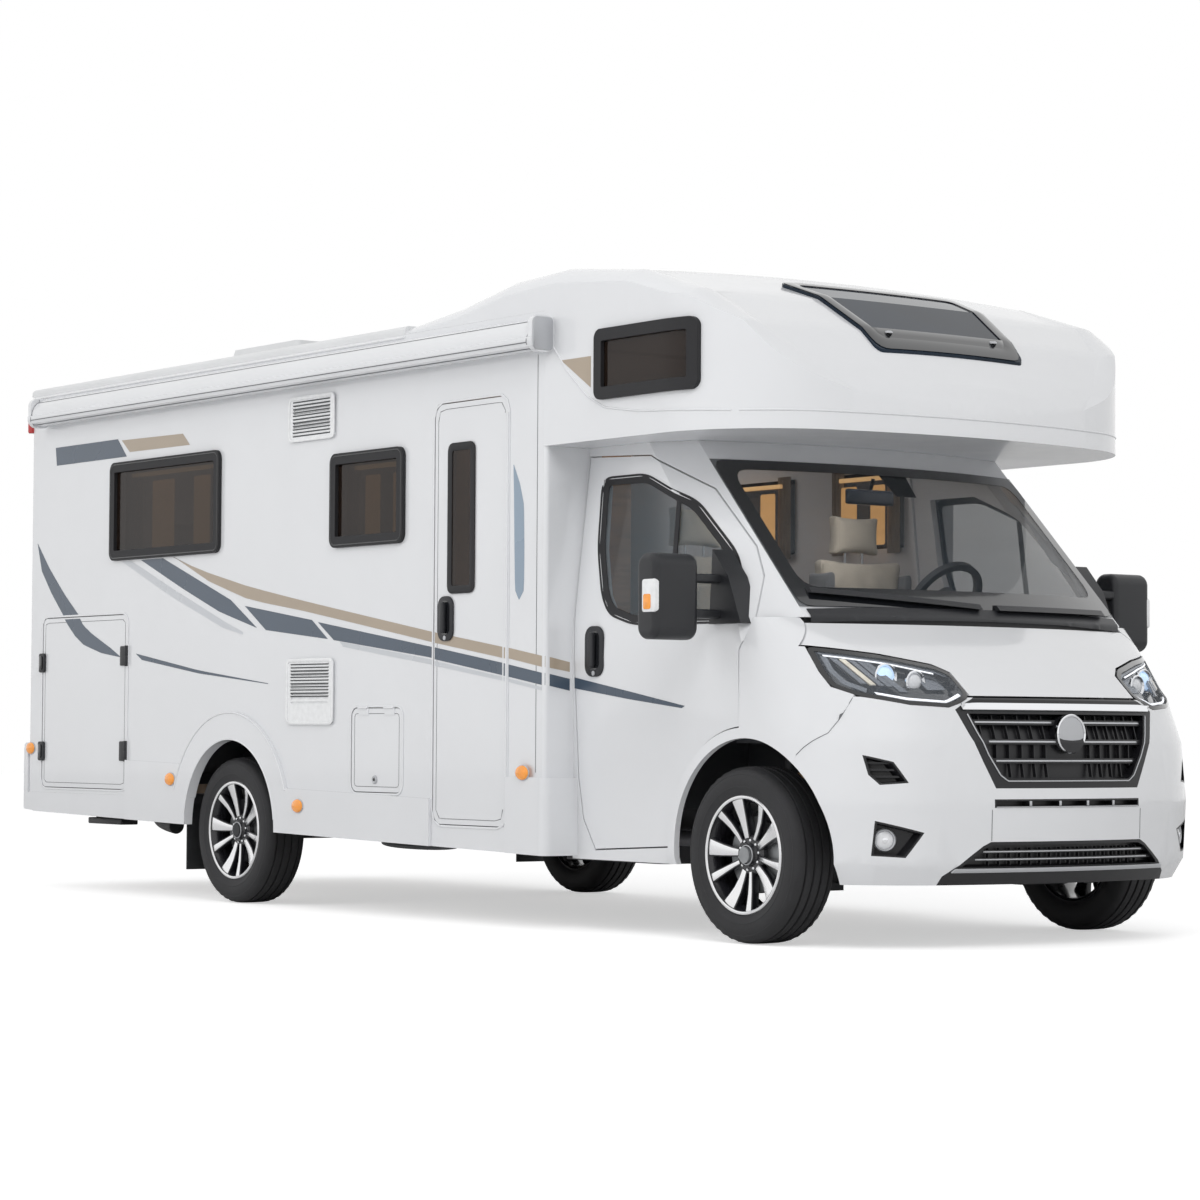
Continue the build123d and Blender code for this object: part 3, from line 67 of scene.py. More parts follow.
cadGap = 0.00005     # the same for a CAD mesh and for a closed ring
wallFace = 1.1604    # just proud of the side walls, measured from the middle
rimFace = 1.1602     # where rims and lines on the walls start
skirtFace = 1.1765   # the face of the side skirts
outside = 4          # a coordinate well outside the vehicle, where rays start
inward = (-1, 0, 0)  # from the front face into the vehicle

# selecting, shaping and finishing

# body, finish and slot of the most common pieces
paintTrim = ("coach", "paintWhite", "body_white")
glossTrim = ("coach", "blackGloss", "black_trim")
darkTrim = ("coach", "blackPlastic", "black_trim")
rubberTrim = ("coach", "greyRubber", "black_trim")
whiteTrim = ("coach", "whiteLens", "body_white")
redLamp = ("coach", "redLens", "red_lens")

def clearAll():
    if bpy.context.object and bpy.context.object.mode != "OBJECT":
        bpy.ops.object.mode_set(mode="OBJECT")
    bpy.ops.object.select_all(action="DESELECT")

def activate(piece):
    clearAll()
    piece.select_set(True)
    bpy.context.view_layer.objects.active = piece

def inEdit(*steps):
    # operators run in edit mode, each on the whole mesh
    bpy.ops.object.mode_set(mode="EDIT")
    for step, settings in steps:
        bpy.ops.mesh.select_all(action="SELECT")
        step(**settings)
    bpy.ops.object.mode_set(mode="OBJECT")

outwardStep = (bpy.ops.mesh.normals_make_consistent, dict(inside=False))

def merging(distance):
    return (bpy.ops.mesh.remove_doubles, dict(threshold=distance))

def addModifier(piece, kind, **settings):
    activate(piece)
    modifier = piece.modifiers.new(kind.lower(), kind)
    for key, value in settings.items():
        setattr(modifier, key, value)
    bpy.ops.object.modifier_apply(modifier=modifier.name)

def settle(piece, name, body, finish, angle=35, outward=True):
    activate(piece)
    bpy.ops.object.transform_apply(location=True, rotation=True, scale=True)
    if outward:
        inEdit(outwardStep)
    bpy.ops.object.shade_smooth_by_angle(angle=math.radians(angle))
    piece.name = name
    piece.data.name = name
    if finish is not None:
        piece.data.materials.clear()
        piece.data.materials.append(finishes[finish])
    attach(piece, body)
    return piece

def block(name, low, high, soften, body, finish, slotName=None, cuts=3):
    # a box between two corners with rounded edges
    clearAll()
    bpy.ops.mesh.primitive_cube_add(size=1, location=[(a + b) / 2 for a, b in zip(low, high)])
    piece = bpy.context.object
    piece.scale = [abs(b - a) for a, b in zip(low, high)]
    bpy.ops.object.transform_apply(location=True, rotation=True, scale=True)
    inEdit((bpy.ops.mesh.bevel, dict(offset=soften, segments=cuts, affect="EDGES")))
    return settle(piece, name, body, finish)

def plate(name, outline, push, body, finish, slotName=None, soften=0.0):
    # an outline given as points, filled, pushed out along a vector and softened
    clearAll()
    bpy.ops.mesh.primitive_circle_add(vertices=len(outline), radius=1, fill_type="NGON")
    piece = bpy.context.object
    for vertex, point in zip(piece.data.vertices, outline):
        vertex.co = point
    inEdit((bpy.ops.mesh.extrude_region_move, dict(TRANSFORM_OT_translate={"value": push})), outwardStep)
    if soften:
        addModifier(piece, "BEVEL", width=soften, segments=2, limit_method="ANGLE",
                    angle_limit=math.radians(50))
    return settle(piece, name, body, finish)

def spun(name, profile, centre, axis, body, finish, slotName=None, steps=64, angle=30):
    # a closed profile of (radius, along) points spun about an axis through the centre
    clearAll()
    bpy.ops.mesh.primitive_circle_add(vertices=len(profile), radius=1, fill_type="NOTHING")
    piece = bpy.context.object
    turn = axis.to_track_quat("Z", "Y")
    for vertex, (radius, along) in zip(piece.data.vertices, profile):
        vertex.co = Vector(centre) + turn @ Vector((radius, 0, along))
    inEdit((bpy.ops.mesh.spin, dict(steps=steps, angle=math.tau, center=centre, axis=axis)), merging(mergeGap))
    return settle(piece, name, body, finish, angle)

def tube(name, points, radius, body, finish, slotName=None, closed=False, sides=4, smooth=False):
    # a round bead along points
    clearAll()
    bpy.ops.curve.primitive_nurbs_path_add()
    bead = bpy.context.object
    curve = bead.data
    curve.splines.clear()
    spline = curve.splines.new("NURBS" if smooth else "POLY")
    spline.points.add(len(points) - 1)
    for target, point in zip(spline.points, points):
        target.co = (*point, 1)
    if smooth:
        spline.order_u = 3
        spline.use_endpoint_u = not closed
    spline.use_cyclic_u = closed
    curve.dimensions = "3D"
    curve.bevel_depth = radius
    curve.bevel_resolution = sides
    curve.use_fill_caps = not closed
    bpy.ops.object.convert(target="MESH")
    bead = bpy.context.object
    activate(bead)
    inEdit(merging(mergeGap))
    return settle(bead, name, body, finish, 50)

def copied(piece, name, body, change):
    # a copy with its own mesh, changed point by point
    activate(piece)
    bpy.ops.object.duplicate(linked=False)
    twin = bpy.context.object
    twin.data = piece.data.copy()
    for vertex in twin.data.vertices:
        vertex.co = change(vertex.co)
    activate(twin)
    inEdit(outwardStep)
    twin.name = name
    twin.data.name = name
    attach(twin, body)
    return twin

def smoothNode(name, finish, angle=30):
    # a CAD node's own mesh, merged and shaded smooth, in the node's place
    node = nodes[name]
    clearAll()
    skin = node.copy()
    skin.data = node.data.copy()
    bpy.context.scene.collection.objects.link(skin)
    skin.parent = None
    skin.matrix_world = Matrix()
    activate(skin)
    inEdit(merging(cadGap))
    if skin.data.has_custom_normals:
        bpy.ops.mesh.customdata_custom_splitnormals_clear()
    settle(skin, name + "_skin", bodyOf(name), finish, angle, outward=False)
    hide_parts(name)

def bodyOf(name):
    return body_of(nodes[name])[0]

surfaces = {}

def surfaceOf(name):
    if name not in surfaces:
        mesh = nodes[name].data
        surfaces[name] = BVHTree.FromPolygons([v.co.copy() for v in mesh.vertices],
                                              [tuple(f.vertices) for f in mesh.polygons])
    return surfaces[name]

def hitOn(targets, start, way):
    # where a line first meets any of the CAD nodes
    best = None
    for name in targets:
        place, normal, index, length = surfaceOf(name).ray_cast(start, way)
        if place is not None and (best is None or (place - start).length < (best - start).length):
            best = place
    return best

def thicken(piece, thick, way):
    # gives a sheet its thickness on the side that faces against the direction
    facing = sum((face.normal * face.area for face in piece.data.polygons), Vector()).dot(way)
    addModifier(piece, "SOLIDIFY", thickness=thick, offset=-1 if facing > 0 else 1)

def draped(name, rows, targets, way, lift, thick, body, finish, slotName=None, closed=False, soften=0.0,
           angle=40):
    # rows of points pressed along a direction onto CAD nodes, then thickened outward
    count, across = len(rows[0]), len(rows)
    clearAll()
    bpy.ops.mesh.primitive_grid_add(x_subdivisions=count - 1, y_subdivisions=across - 1, size=1)
    piece = bpy.context.object
    way = Vector(way)
    lifts = lift if isinstance(lift, (list, tuple)) else [lift] * across
    missed = []
    for r in range(across):
        for c in range(count):
            point = Vector(rows[r][c])
            met = hitOn(targets, point - way * (outside + point.dot(way)), way) if targets else point
            if met is None:
                missed.append((r, c))
                met = point
            piece.data.vertices[r * count + c].co = met - way * lifts[r]
    for r, c in missed:
        # a point past the surface's edge takes the depth of the nearest one that met it
        near = min(((abs(r - a) * 3 + abs(c - b), a, b) for a in range(across) for b in range(count)
                    if (a, b) not in missed), default=None)
        if near:
            vertex, other = piece.data.vertices[r * count + c], piece.data.vertices[near[1] * count + near[2]]
            vertex.co += way * (other.co.dot(way) - vertex.co.dot(way))
    if closed:
        inEdit(merging(cadGap))
    thicken(piece, thick, way)
    if soften:
        addModifier(piece, "BEVEL", width=soften, segments=2, limit_method="ANGLE",
                    angle_limit=math.radians(60))
    return settle(piece, name, body, finish, angle)

def evenly(points, count):
    # points spread evenly along a broken line
    points = [Vector(p) for p in points]
    lengths = [(b - a).length for a, b in zip(points, points[1:])]
    total, spread, index, passed = sum(lengths), [], 0, 0.0
    for step in range(count):
        wanted = total * step / (count - 1)
        while index < len(lengths) - 1 and passed + lengths[index] < wanted:
            passed += lengths[index]
            index += 1
        share = (wanted - passed) / lengths[index] if lengths[index] else 0
        spread.append(points[index].lerp(points[index + 1], min(max(share, 0), 1)))
    return spread

def between(upper, lower, along, across):
    top, bottom = evenly(upper, along), evenly(lower, along)
    return [[a.lerp(b, r / (across - 1)) for a, b in zip(top, bottom)] for r in range(across)]

def sideWord(side):
    return "left" if side > 0 else "right"

def onSide(points, side):
    return [(x, side * 1.2, z) for x, z in points]

def onFront(points):
    return [(outside, y, z) for y, z in points]

def wallBox(side, depth, *box):
    # a rounded outline on a plane beside the wall
    return [(x, side * depth, z) for x, z in roundBox(*box)]

def frontHit(targets, y, z):
    return hitOn(targets, Vector((outside, y, z)), Vector(inward))

def sideHit(targets, x, z, side):
    return hitOn(targets, Vector((x, side * outside, z)), Vector((0, -side, 0)))

def ringed(outline, count):
    # a closed outline with its points spread evenly
    return evenly(outline + [outline[0]], count)

def bands(outer, inner, shares):
    # rows between two closed loops
    return [[a.lerp(b, t) for a, b in zip(outer, inner)] for t in shares]

def roundBox(rear, front, low, high, radius, steps=6):
    # the outline of a rounded opening as (along, height)
    points = []
    for cx, cz, start in ((front - radius, high - radius, 0), (rear + radius, high - radius, 90),
                          (rear + radius, low + radius, 180), (front - radius, low + radius, 270)):
        for step in range(steps + 1):
            turn = math.radians(start + 90 * step / steps)
            points.append((cx + radius * math.cos(turn), cz + radius * math.sin(turn)))
    return points

def grown(outline, amount):
    # a closed outline moved outward by an amount
    points = [Vector(p) for p in outline]
    count = len(points)
    area = sum(points[i].x * points[(i + 1) % count].y - points[(i + 1) % count].x * points[i].y
               for i in range(count))
    turn = 1 if area > 0 else -1
    moved = []
    for i, point in enumerate(points):
        before, after = (point - points[i - 1]), (points[(i + 1) % count] - point)
        a = Vector((before.y, -before.x)).normalized() if before.length > 1e-6 else Vector((0, 0))
        b = Vector((after.y, -after.x)).normalized() if after.length > 1e-6 else a
        if a.length < 1e-6:
            a = b
        middle = (a + b).normalized()
        moved.append(point + middle * turn * amount / max(middle.dot(b), 0.35))
    return [tuple(p) for p in moved]

def softened(outline, radius, steps=4):
    # a closed outline with its corners rounded
    points = [Vector(p) for p in outline]
    count, smooth = len(points), []
    for i, corner in enumerate(points):
        before, after = points[i - 1] - corner, points[(i + 1) % count] - corner
        reach = min(radius, before.length * 0.45, after.length * 0.45)
        a, b = corner + before.normalized() * reach, corner + after.normalized() * reach
        for step in range(steps + 1):
            t = step / steps
            smooth.append(tuple(a * (1 - t) ** 2 + corner * 2 * t * (1 - t) + b * t * t))
    return smooth

# finishes

finishes = {}

def addNode(tree, kind, **values):
    # a shader node with its input values, named with underscores for spaces
    node = tree.nodes.new("ShaderNode" + kind)
    for key, value in values.items():
        node.inputs[key.replace("_", " ")].default_value = value
    return node

def addBump(tree, height, depth):
    bump = addNode(tree, "Bump", Strength=depth, Distance=0.001)
    tree.links.new(height, bump.inputs["Height"])
    tree.links.new(bump.outputs["Normal"], tree.nodes["Principled BSDF"].inputs["Normal"])

def makeFinish(name, colour, rough, metal=0.0, coat=0.0, mottle=0.04, mottleScale=2.5, stretch=(1, 1, 1),
               grain=0.0, grainScale=260, alpha=1.0, roughSwing=0.06, sheen=0.0, glow=0.0, shine=0.5):
    material = bpy.data.materials.new(name)
    material.use_nodes = True
    tree = material.node_tree
    shader = tree.nodes["Principled BSDF"]
    place = addNode(tree, "TexCoord")
    mapping = addNode(tree, "Mapping", Scale=stretch)
    tree.links.new(place.outputs["Object"], mapping.inputs["Vector"])
    cloud = addNode(tree, "TexNoise", Scale=mottleScale, Detail=5)
    tree.links.new(mapping.outputs["Vector"], cloud.inputs["Vector"])
    ramp = addNode(tree, "ValToRGB")
    for element, spot, share in zip(ramp.color_ramp.elements, (0.3, 0.7), (1 - mottle, 1 + mottle)):
        element.position = spot
        element.color = (*[min(c * share, 1) for c in colour], 1)
    tree.links.new(cloud.outputs["Fac"], ramp.inputs["Fac"])
    tree.links.new(ramp.outputs["Color"], shader.inputs["Base Color"])
    swing = addNode(tree, "MapRange", To_Min=max(rough - roughSwing, 0.01), To_Max=min(rough + roughSwing, 1))
    tree.links.new(cloud.outputs["Fac"], swing.inputs["Value"])
    tree.links.new(swing.outputs["Result"], shader.inputs["Roughness"])
    if grain:
        speck = addNode(tree, "TexNoise", Scale=grainScale, Detail=3)
        tree.links.new(mapping.outputs["Vector"], speck.inputs["Vector"])
        addBump(tree, speck.outputs["Fac"], grain)
    shader.inputs["Metallic"].default_value = metal
    shader.inputs["Coat Weight"].default_value = coat
    shader.inputs["Coat Roughness"].default_value = 0.04
    shader.inputs["Alpha"].default_value = alpha
    shader.inputs["Sheen Weight"].default_value = sheen
    shader.inputs["Specular IOR Level"].default_value = shine
    if glow:
        shader.inputs["Emission Color"].default_value = (*colour, 1)
        shader.inputs["Emission Strength"].default_value = glow
    finishes[name] = material
    return material

def addWeave(name, scale, depth):
    # woven relief on top of a finish
    tree = finishes[name].node_tree
    height = None
    for direction in ("X", "Y", "Z"):
        wave = addNode(tree, "TexWave", Scale=scale, Distortion=0.4)
        wave.bands_direction = direction
        tree.links.new(tree.nodes["Texture Coordinate"].outputs["Object"], wave.inputs["Vector"])
        if height is None:
            height = wave.outputs["Fac"]
            continue
        blend = addNode(tree, "Math")
        blend.operation = "MULTIPLY_ADD"
        blend.inputs[1].default_value = 1.0
        tree.links.new(height, blend.inputs[0])
        tree.links.new(wave.outputs["Fac"], blend.inputs[2])
        height = blend.outputs["Value"]
    addBump(tree, height, depth)

finishTable = {
    "paintWhite": dict(colour=(0.80, 0.81, 0.83), rough=0.22, coat=0.6, mottle=0.012, grain=0.03,
                       grainScale=90),
    "doorWhite": dict(colour=(0.80, 0.81, 0.83), rough=0.20, coat=0.7, mottle=0.012, grain=0.02,
                      grainScale=120),
    "roofWhite": dict(colour=(0.77, 0.78, 0.79), rough=0.35, coat=0.3, mottle=0.03, grain=0.08, grainScale=60),
    "slateVinyl": dict(colour=(0.062, 0.088, 0.125), rough=0.28, coat=0.3, mottle=0.05),
    "tanVinyl": dict(colour=(0.42, 0.345, 0.265), rough=0.30, coat=0.3, mottle=0.04),
    "greyVinyl": dict(colour=(0.60, 0.62, 0.65), rough=0.28, coat=0.3, mottle=0.02),
    "blueVinyl": dict(colour=(0.28, 0.36, 0.45), rough=0.28, coat=0.3, mottle=0.03),
    "blackGloss": dict(colour=(0.008, 0.009, 0.011), rough=0.10, coat=0.8, mottle=0.1),
    "blackPlastic": dict(colour=(0.018, 0.019, 0.022), rough=0.42, mottle=0.12, grain=0.25, grainScale=420),
    "blackRubber": dict(colour=(0.014, 0.014, 0.016), rough=0.62, mottle=0.12, grain=0.12, grainScale=300),
    "greyRubber": dict(colour=(0.16, 0.165, 0.175), rough=0.6, mottle=0.08, grain=0.1),
    "tyreRubber": dict(colour=(0.022, 0.022, 0.024), rough=0.66, mottle=0.2, mottleScale=7, grain=0.4,
                       grainScale=190),
    "alloyBlack": dict(colour=(0.012, 0.012, 0.015), rough=0.22, coat=0.5, mottle=0.1),
    "alloyBright": dict(colour=(0.86, 0.86, 0.87), rough=0.24, metal=1.0, mottle=0.03, grain=0.05,
                        grainScale=500),
    "chrome": dict(colour=(0.86, 0.87, 0.89), rough=0.10, metal=1.0, mottle=0.02, roughSwing=0.03),
    "silverPlastic": dict(colour=(0.52, 0.53, 0.55), rough=0.32, metal=0.6, mottle=0.03, grain=0.05),
    "badgeGrey": dict(colour=(0.50, 0.51, 0.53), rough=0.35, metal=0.1, coat=0.3, mottle=0.05),
    "grilleBlack": dict(colour=(0.010, 0.010, 0.012), rough=0.35, mottle=0.15, grain=0.1),
    "tintedPane": dict(colour=(0.018, 0.011, 0.008), rough=0.05, coat=0.0, mottle=0.25, mottleScale=1.6,
                       alpha=0.80, roughSwing=0.02, shine=0.3),
    "cabGlass": dict(colour=(0.022, 0.050, 0.070), rough=0.03, coat=0.4, mottle=0.12, alpha=0.42,
                     roughSwing=0.02),
    "screenGlass": dict(colour=(0.020, 0.028, 0.036), rough=0.03, coat=0.3, mottle=0.08, alpha=0.34,
                        roughSwing=0.02),
    "roofGlass": dict(colour=(0.009, 0.018, 0.032), rough=0.04, coat=0.0, mottle=0.3, mottleScale=2, alpha=0.95,
                      roughSwing=0.02, shine=0.2),
    "lampCover": dict(colour=(0.70, 0.76, 0.84), rough=0.03, coat=0.1, mottle=0.02, alpha=0.06, roughSwing=0.01,
                      shine=0.3),
    "lampChrome": dict(colour=(0.20, 0.215, 0.24), rough=0.22, metal=0.85, mottle=0.12, mottleScale=30),
    "lampWhite": dict(colour=(0.93, 0.95, 1.0), rough=0.3, mottle=0.02, glow=0.55),
    "lampCream": dict(colour=(0.86, 0.80, 0.66), rough=0.35, mottle=0.12, mottleScale=60, coat=0.5),
    "lampBlue": dict(colour=(0.50, 0.68, 0.95), rough=0.06, coat=1.0, mottle=0.25, mottleScale=14, glow=0.7),
    "amberLens": dict(colour=(0.95, 0.33, 0.03), rough=0.16, coat=0.8, mottle=0.1, mottleScale=60, glow=0.08),
    "redLens": dict(colour=(0.52, 0.012, 0.012), rough=0.14, coat=0.8, mottle=0.12, mottleScale=50),
    "clearLens": dict(colour=(0.85, 0.86, 0.88), rough=0.12, coat=0.8, mottle=0.05, mottleScale=60),
    "whiteLens": dict(colour=(0.86, 0.87, 0.88), rough=0.18, coat=0.7, mottle=0.05, mottleScale=40),
    "steel": dict(colour=(0.05, 0.052, 0.055), rough=0.55, metal=0.5, mottle=0.25, mottleScale=6, grain=0.15),
    "castAlloy": dict(colour=(0.33, 0.34, 0.35), rough=0.45, metal=0.8, mottle=0.15, mottleScale=12,
                      grain=0.25),
    "tankGrey": dict(colour=(0.10, 0.10, 0.11), rough=0.5, mottle=0.1, grain=0.1),
    "floorVinyl": dict(colour=(0.20, 0.15, 0.11), rough=0.45, mottle=0.25, mottleScale=4, stretch=(1, 9, 1),
                       grain=0.1),
    "cabPlastic": dict(colour=(0.045, 0.047, 0.052), rough=0.6, mottle=0.1, grain=0.3, grainScale=380),
    "oakBoard": dict(colour=(0.36, 0.22, 0.12), rough=0.4, mottle=0.28, mottleScale=3, stretch=(1.2, 1.2, 14),
                     grain=0.1),
    "seatCloth": dict(colour=(0.56, 0.50, 0.41), rough=0.85, mottle=0.08, mottleScale=14, sheen=0.3),
    "seatGrey": dict(colour=(0.17, 0.17, 0.175), rough=0.85, mottle=0.1, mottleScale=14, sheen=0.3),
    "quilt": dict(colour=(0.46, 0.42, 0.36), rough=0.9, mottle=0.1, mottleScale=9, sheen=0.3),
    "curtain": dict(colour=(0.40, 0.34, 0.27), rough=0.9, mottle=0.1, mottleScale=12, sheen=0.2),
    # amber blind cloth whose glow is painted light, not a lamp
    "blindAmber": dict(colour=(0.75, 0.42, 0.16), rough=0.7, mottle=0.22, mottleScale=5, stretch=(1, 1, 3),
                       glow=0.8),
    # dark finish that paints the shade inside vent and grille openings
    "ventShade": dict(colour=(0.10, 0.105, 0.11), rough=0.7, mottle=0.1, grain=0.1),
    "warmLight": dict(colour=(1.0, 0.62, 0.28), rough=0.5, mottle=0.05, glow=0.7),
    "mirrorGlass": dict(colour=(0.80, 0.82, 0.85), rough=0.03, metal=1.0, mottle=0.02, roughSwing=0.01),
}
for key, values in finishTable.items():
    makeFinish(key, **values)
for key, scale, depth in (("seatCloth", 60, 0.5), ("seatGrey", 60, 0.5), ("quilt", 40, 0.4),
                          ("curtain", 50, 0.4)):
    addWeave(key, scale, depth)
print("finishes", len(finishes))

# which finish each CAD node keeps
nodeFinish = {
    "habitation_floor": "floorVinyl", "side_wall_right": "paintWhite", "side_wall_left": "paintWhite",
    "rear_wall": "paintWhite", "main_roof": "roofWhite", "wheel_boxes": "blackPlastic",
    "alcove_shell": "paintWhite",
    "alcove_floor": "paintWhite", "roof_light": "roofGlass", "window_frames": "blackRubber",
    "window_panes": "tintedPane", "side_skirts": "paintWhite", "rear_bumper": "paintWhite",
    "cab_frame": "doorWhite",
    "cab_fairings": "paintWhite", "windscreen": "screenGlass", "headlights": "lampChrome",
    "grille": "grilleBlack",
    "front_bumper": "doorWhite", "front_wings": "doorWhite", "cab_floor": "cabPlastic",
    "dashboard": "cabPlastic",
    "cab_seats": "seatCloth", "interior_units": "oakBoard", "cushions": "quilt", "awning_case": "paintWhite",
    "roof_fittings": "roofWhite", "wall_vents": "whiteLens", "marker_lights": "amberLens",
    "rear_lights": "redLens",
    "cowl_and_wipers": "blackPlastic", "chassis_frame": "steel", "rear_axle": "steel",
    "front_subframe": "steel",
    "engine_block": "castAlloy", "underfloor_tanks": "tankGrey", "pins_and_buffers": "blackRubber",
    "steering_wheel": "cabPlastic", "bonnet": "doorWhite", "entry_door": "doorWhite",
    "entry_door_pane": "tintedPane",
    "service_hatch": "doorWhite",
}
for side in sides:
    nodeFinish.update({"knuckle_" + side: "castAlloy", "tyre_front_" + side: "tyreRubber",
                       "rim_front_" + side: "alloyBlack", "tyre_rear_" + side: "tyreRubber",
                       "rim_rear_" + side: "alloyBlack", "cab_door_" + side: "doorWhite",
                       "door_glass_" + side: "cabGlass", "mirror_" + side: "blackPlastic",
                       "garage_door_" + side: "doorWhite"})
for name, node in nodes.items():
    node.data.materials.clear()
    node.data.materials.append(finishes[nodeFinish[name]])

# smooth skins for the rounded CAD nodes

for name in ("alcove_shell", "bonnet", "front_wings", "front_bumper", "cab_frame", "roof_fittings",
             "main_roof", "side_skirts", "awning_case", "cab_door_right", "cab_door_left", "mirror_right",
             "mirror_left", "windscreen", "window_panes", "window_frames"):
    smoothNode(name, nodeFinish[name])
print("skins done")

# stripes

# name: finish, upper edge and lower edge as (along, height), for the wall
wallStripes = {
    "topSlate": ("slateVinyl", [(-2.982, 2.312), (-2.301, 2.312)], [(-2.968, 2.217), (-2.204, 2.217)]),
    "topTan": ("tanVinyl", [(-2.259, 2.303), (-1.631, 2.294)], [(-2.173, 2.238), (-1.56, 2.234)]),
    "rearCurve": ("slateVinyl", [(-3.175, 1.815), (-3.04, 1.68), (-2.87, 1.54), (-2.705, 1.424)],
                  [(-3.175, 1.813), (-3.125, 1.668), (-3.01, 1.545), (-2.872, 1.424)]),
    "rearSpear": ("slateVinyl", [(-2.086, 1.214), (-1.45, 1.122), (-0.794, 1.053)],
                  [(-2.023, 1.181), (-1.45, 1.107), (-0.794, 1.050)]),
    "slateFirst": ("slateVinyl", [(-1.819, 1.685), (-1.45, 1.560), (-1.147, 1.457)],
                   [(-2.045, 1.685), (-1.62, 1.528), (-1.251, 1.402), (-0.900, 1.317)]),
    "slateSecond": ("slateVinyl", [(-1.014, 1.425), (-0.404, 1.343)], [(-0.817, 1.305), (-0.263, 1.252)]),
    "slateThird": ("slateVinyl", [(-0.351, 1.332), (0.567, 1.205), (0.606, 1.200)],
                   [(-0.211, 1.246), (0.567, 1.157), (0.606, 1.152)]),
    "greyFirst": ("greyVinyl", [(-2.150, 1.685), (-1.70, 1.523), (-1.20, 1.352), (-1.03, 1.300)],
                  [(-2.245, 1.685), (-1.74, 1.495), (-1.22, 1.325), (-1.03, 1.288)]),
    "greySecond": ("greyVinyl", [(-0.160, 1.238), (0.606, 1.144)], [(-0.130, 1.214), (0.606, 1.122)]),
    "tanLong": ("tanVinyl", [(-1.72, 1.687), (-1.449, 1.613), (-0.969, 1.514), (-0.512, 1.439), (-0.076, 1.371),
                             (0.606, 1.266)],
                [(-1.70, 1.684), (-1.35, 1.551), (-0.968, 1.452), (-0.511, 1.392), (-0.075, 1.326),
                 (0.606, 1.221)]),
}
doorStripes = {
    "doorSlate": ("slateVinyl", [(0.622, 1.198), (1.166, 1.120)], [(0.622, 1.146), (1.166, 1.067)]),
    "doorGrey": ("greyVinyl", [(0.622, 1.138), (1.166, 1.060)], [(0.622, 1.118), (1.166, 1.044)]),
    "doorTan": ("tanVinyl", [(0.622, 1.264), (1.166, 1.188)], [(0.622, 1.218), (1.166, 1.141)]),
}
frontStripes = {
    "frontSlate": ("slateVinyl", [(1.184, 1.116), (1.428, 1.078)], [(1.184, 1.064), (1.428, 1.027)]),
    "frontGrey": ("greyVinyl", [(1.184, 1.056), (1.428, 1.018)], [(1.184, 1.042), (1.428, 1.004)]),
    "frontTan": ("tanVinyl", [(1.184, 1.187), (1.428, 1.149)], [(1.184, 1.142), (1.428, 1.103)]),
    "leaf": ("blueVinyl", [(1.215, 1.965), (1.262, 1.88), (1.291, 1.789), (1.296, 1.60), (1.295, 1.429),
                           (1.262, 1.390)],
             [(1.213, 1.963), (1.218, 1.85), (1.222, 1.70), (1.226, 1.55), (1.230, 1.431), (1.258, 1.390)]),
}
garageStripe = ("slateVinyl", [(-2.690, 1.405), (-2.657, 1.371), (-2.56, 1.325), (-2.469, 1.290),
                               (-2.35, 1.245), (-2.254, 1.203)],
                [(-2.858, 1.405), (-2.823, 1.375), (-2.74, 1.315), (-2.643, 1.267), (-2.45, 1.222),
                 (-2.256, 1.199)])
cabStripe = ("slateVinyl", [(1.467, 1.060), (1.85, 0.998), (2.215, 0.938)],
             [(1.467, 1.014), (1.85, 0.966), (2.196, 0.929)])
alcoveWedge = ("tanVinyl", [(1.552, 2.380), (1.762, 2.380)], [(1.560, 2.376), (1.762, 2.250)])
stripeLift, stripeThick = 0.0004, 0.0008

def stripe(name, spec, side, target, body, along=14):
    finish, upper, lower = spec
    rows = between(onSide(upper, side), onSide(lower, side), along, 3)
    return draped(name, rows, [target], (0, -side, 0), stripeLift, stripeThick, body, finish, "body_white")

for sideName, side in sides.items():
    wall = "side_wall_" + sideName
    for key, spec in {**wallStripes, **frontStripes}.items():
        stripe("stripe_" + key + "_" + sideName, spec, side, wall, "coach")
    for key, spec in doorStripes.items():
        if side < 0:
            stripe("stripe_" + key + "_" + sideName, spec, side, "entry_door", "entry_door")
        else:
            finish, upper, lower = spec
            wider = (finish, [(0.608, upper[0][1] + 0.002), (1.182, upper[1][1] - 0.002)],
                     [(0.608, lower[0][1] + 0.002), (1.182, lower[1][1] - 0.002)])
            stripe("stripe_" + key + "_" + sideName, wider, side, wall, "coach")
    stripe("stripe_garage_" + sideName, garageStripe, side, "garage_door_" + sideName,
           "garage_door_" + sideName)
    stripe("stripe_cab_" + sideName, cabStripe, side, "cab_door_" + sideName, "cab_door_" + sideName, 24)
    stripe("stripe_alcove_" + sideName, alcoveWedge, side, "alcove_shell", "coach")
    # where the stripes turn the corner on to the front face beside the cab door
    for key, finish, edge in (("Slate", "slateVinyl", (1.077, 1.054, 1.027, 1.004)),
                              ("Tan", "tanVinyl", (1.148, 1.124, 1.102, 1.083))):
        upper = [(4, side * 1.156, edge[0]), (4, side * 1.032, edge[1])]
        lower = [(4, side * 1.156, edge[2]), (4, side * 1.032, edge[3])]
        draped("stripe_corner" + key + "_" + sideName, between(upper, lower, 6, 3), ["cab_fairings"],
               (-1, 0, 0),
               stripeLift, stripeThick, "coach", finish, "body_white")
print("stripes done")

# doors and lids in the living body

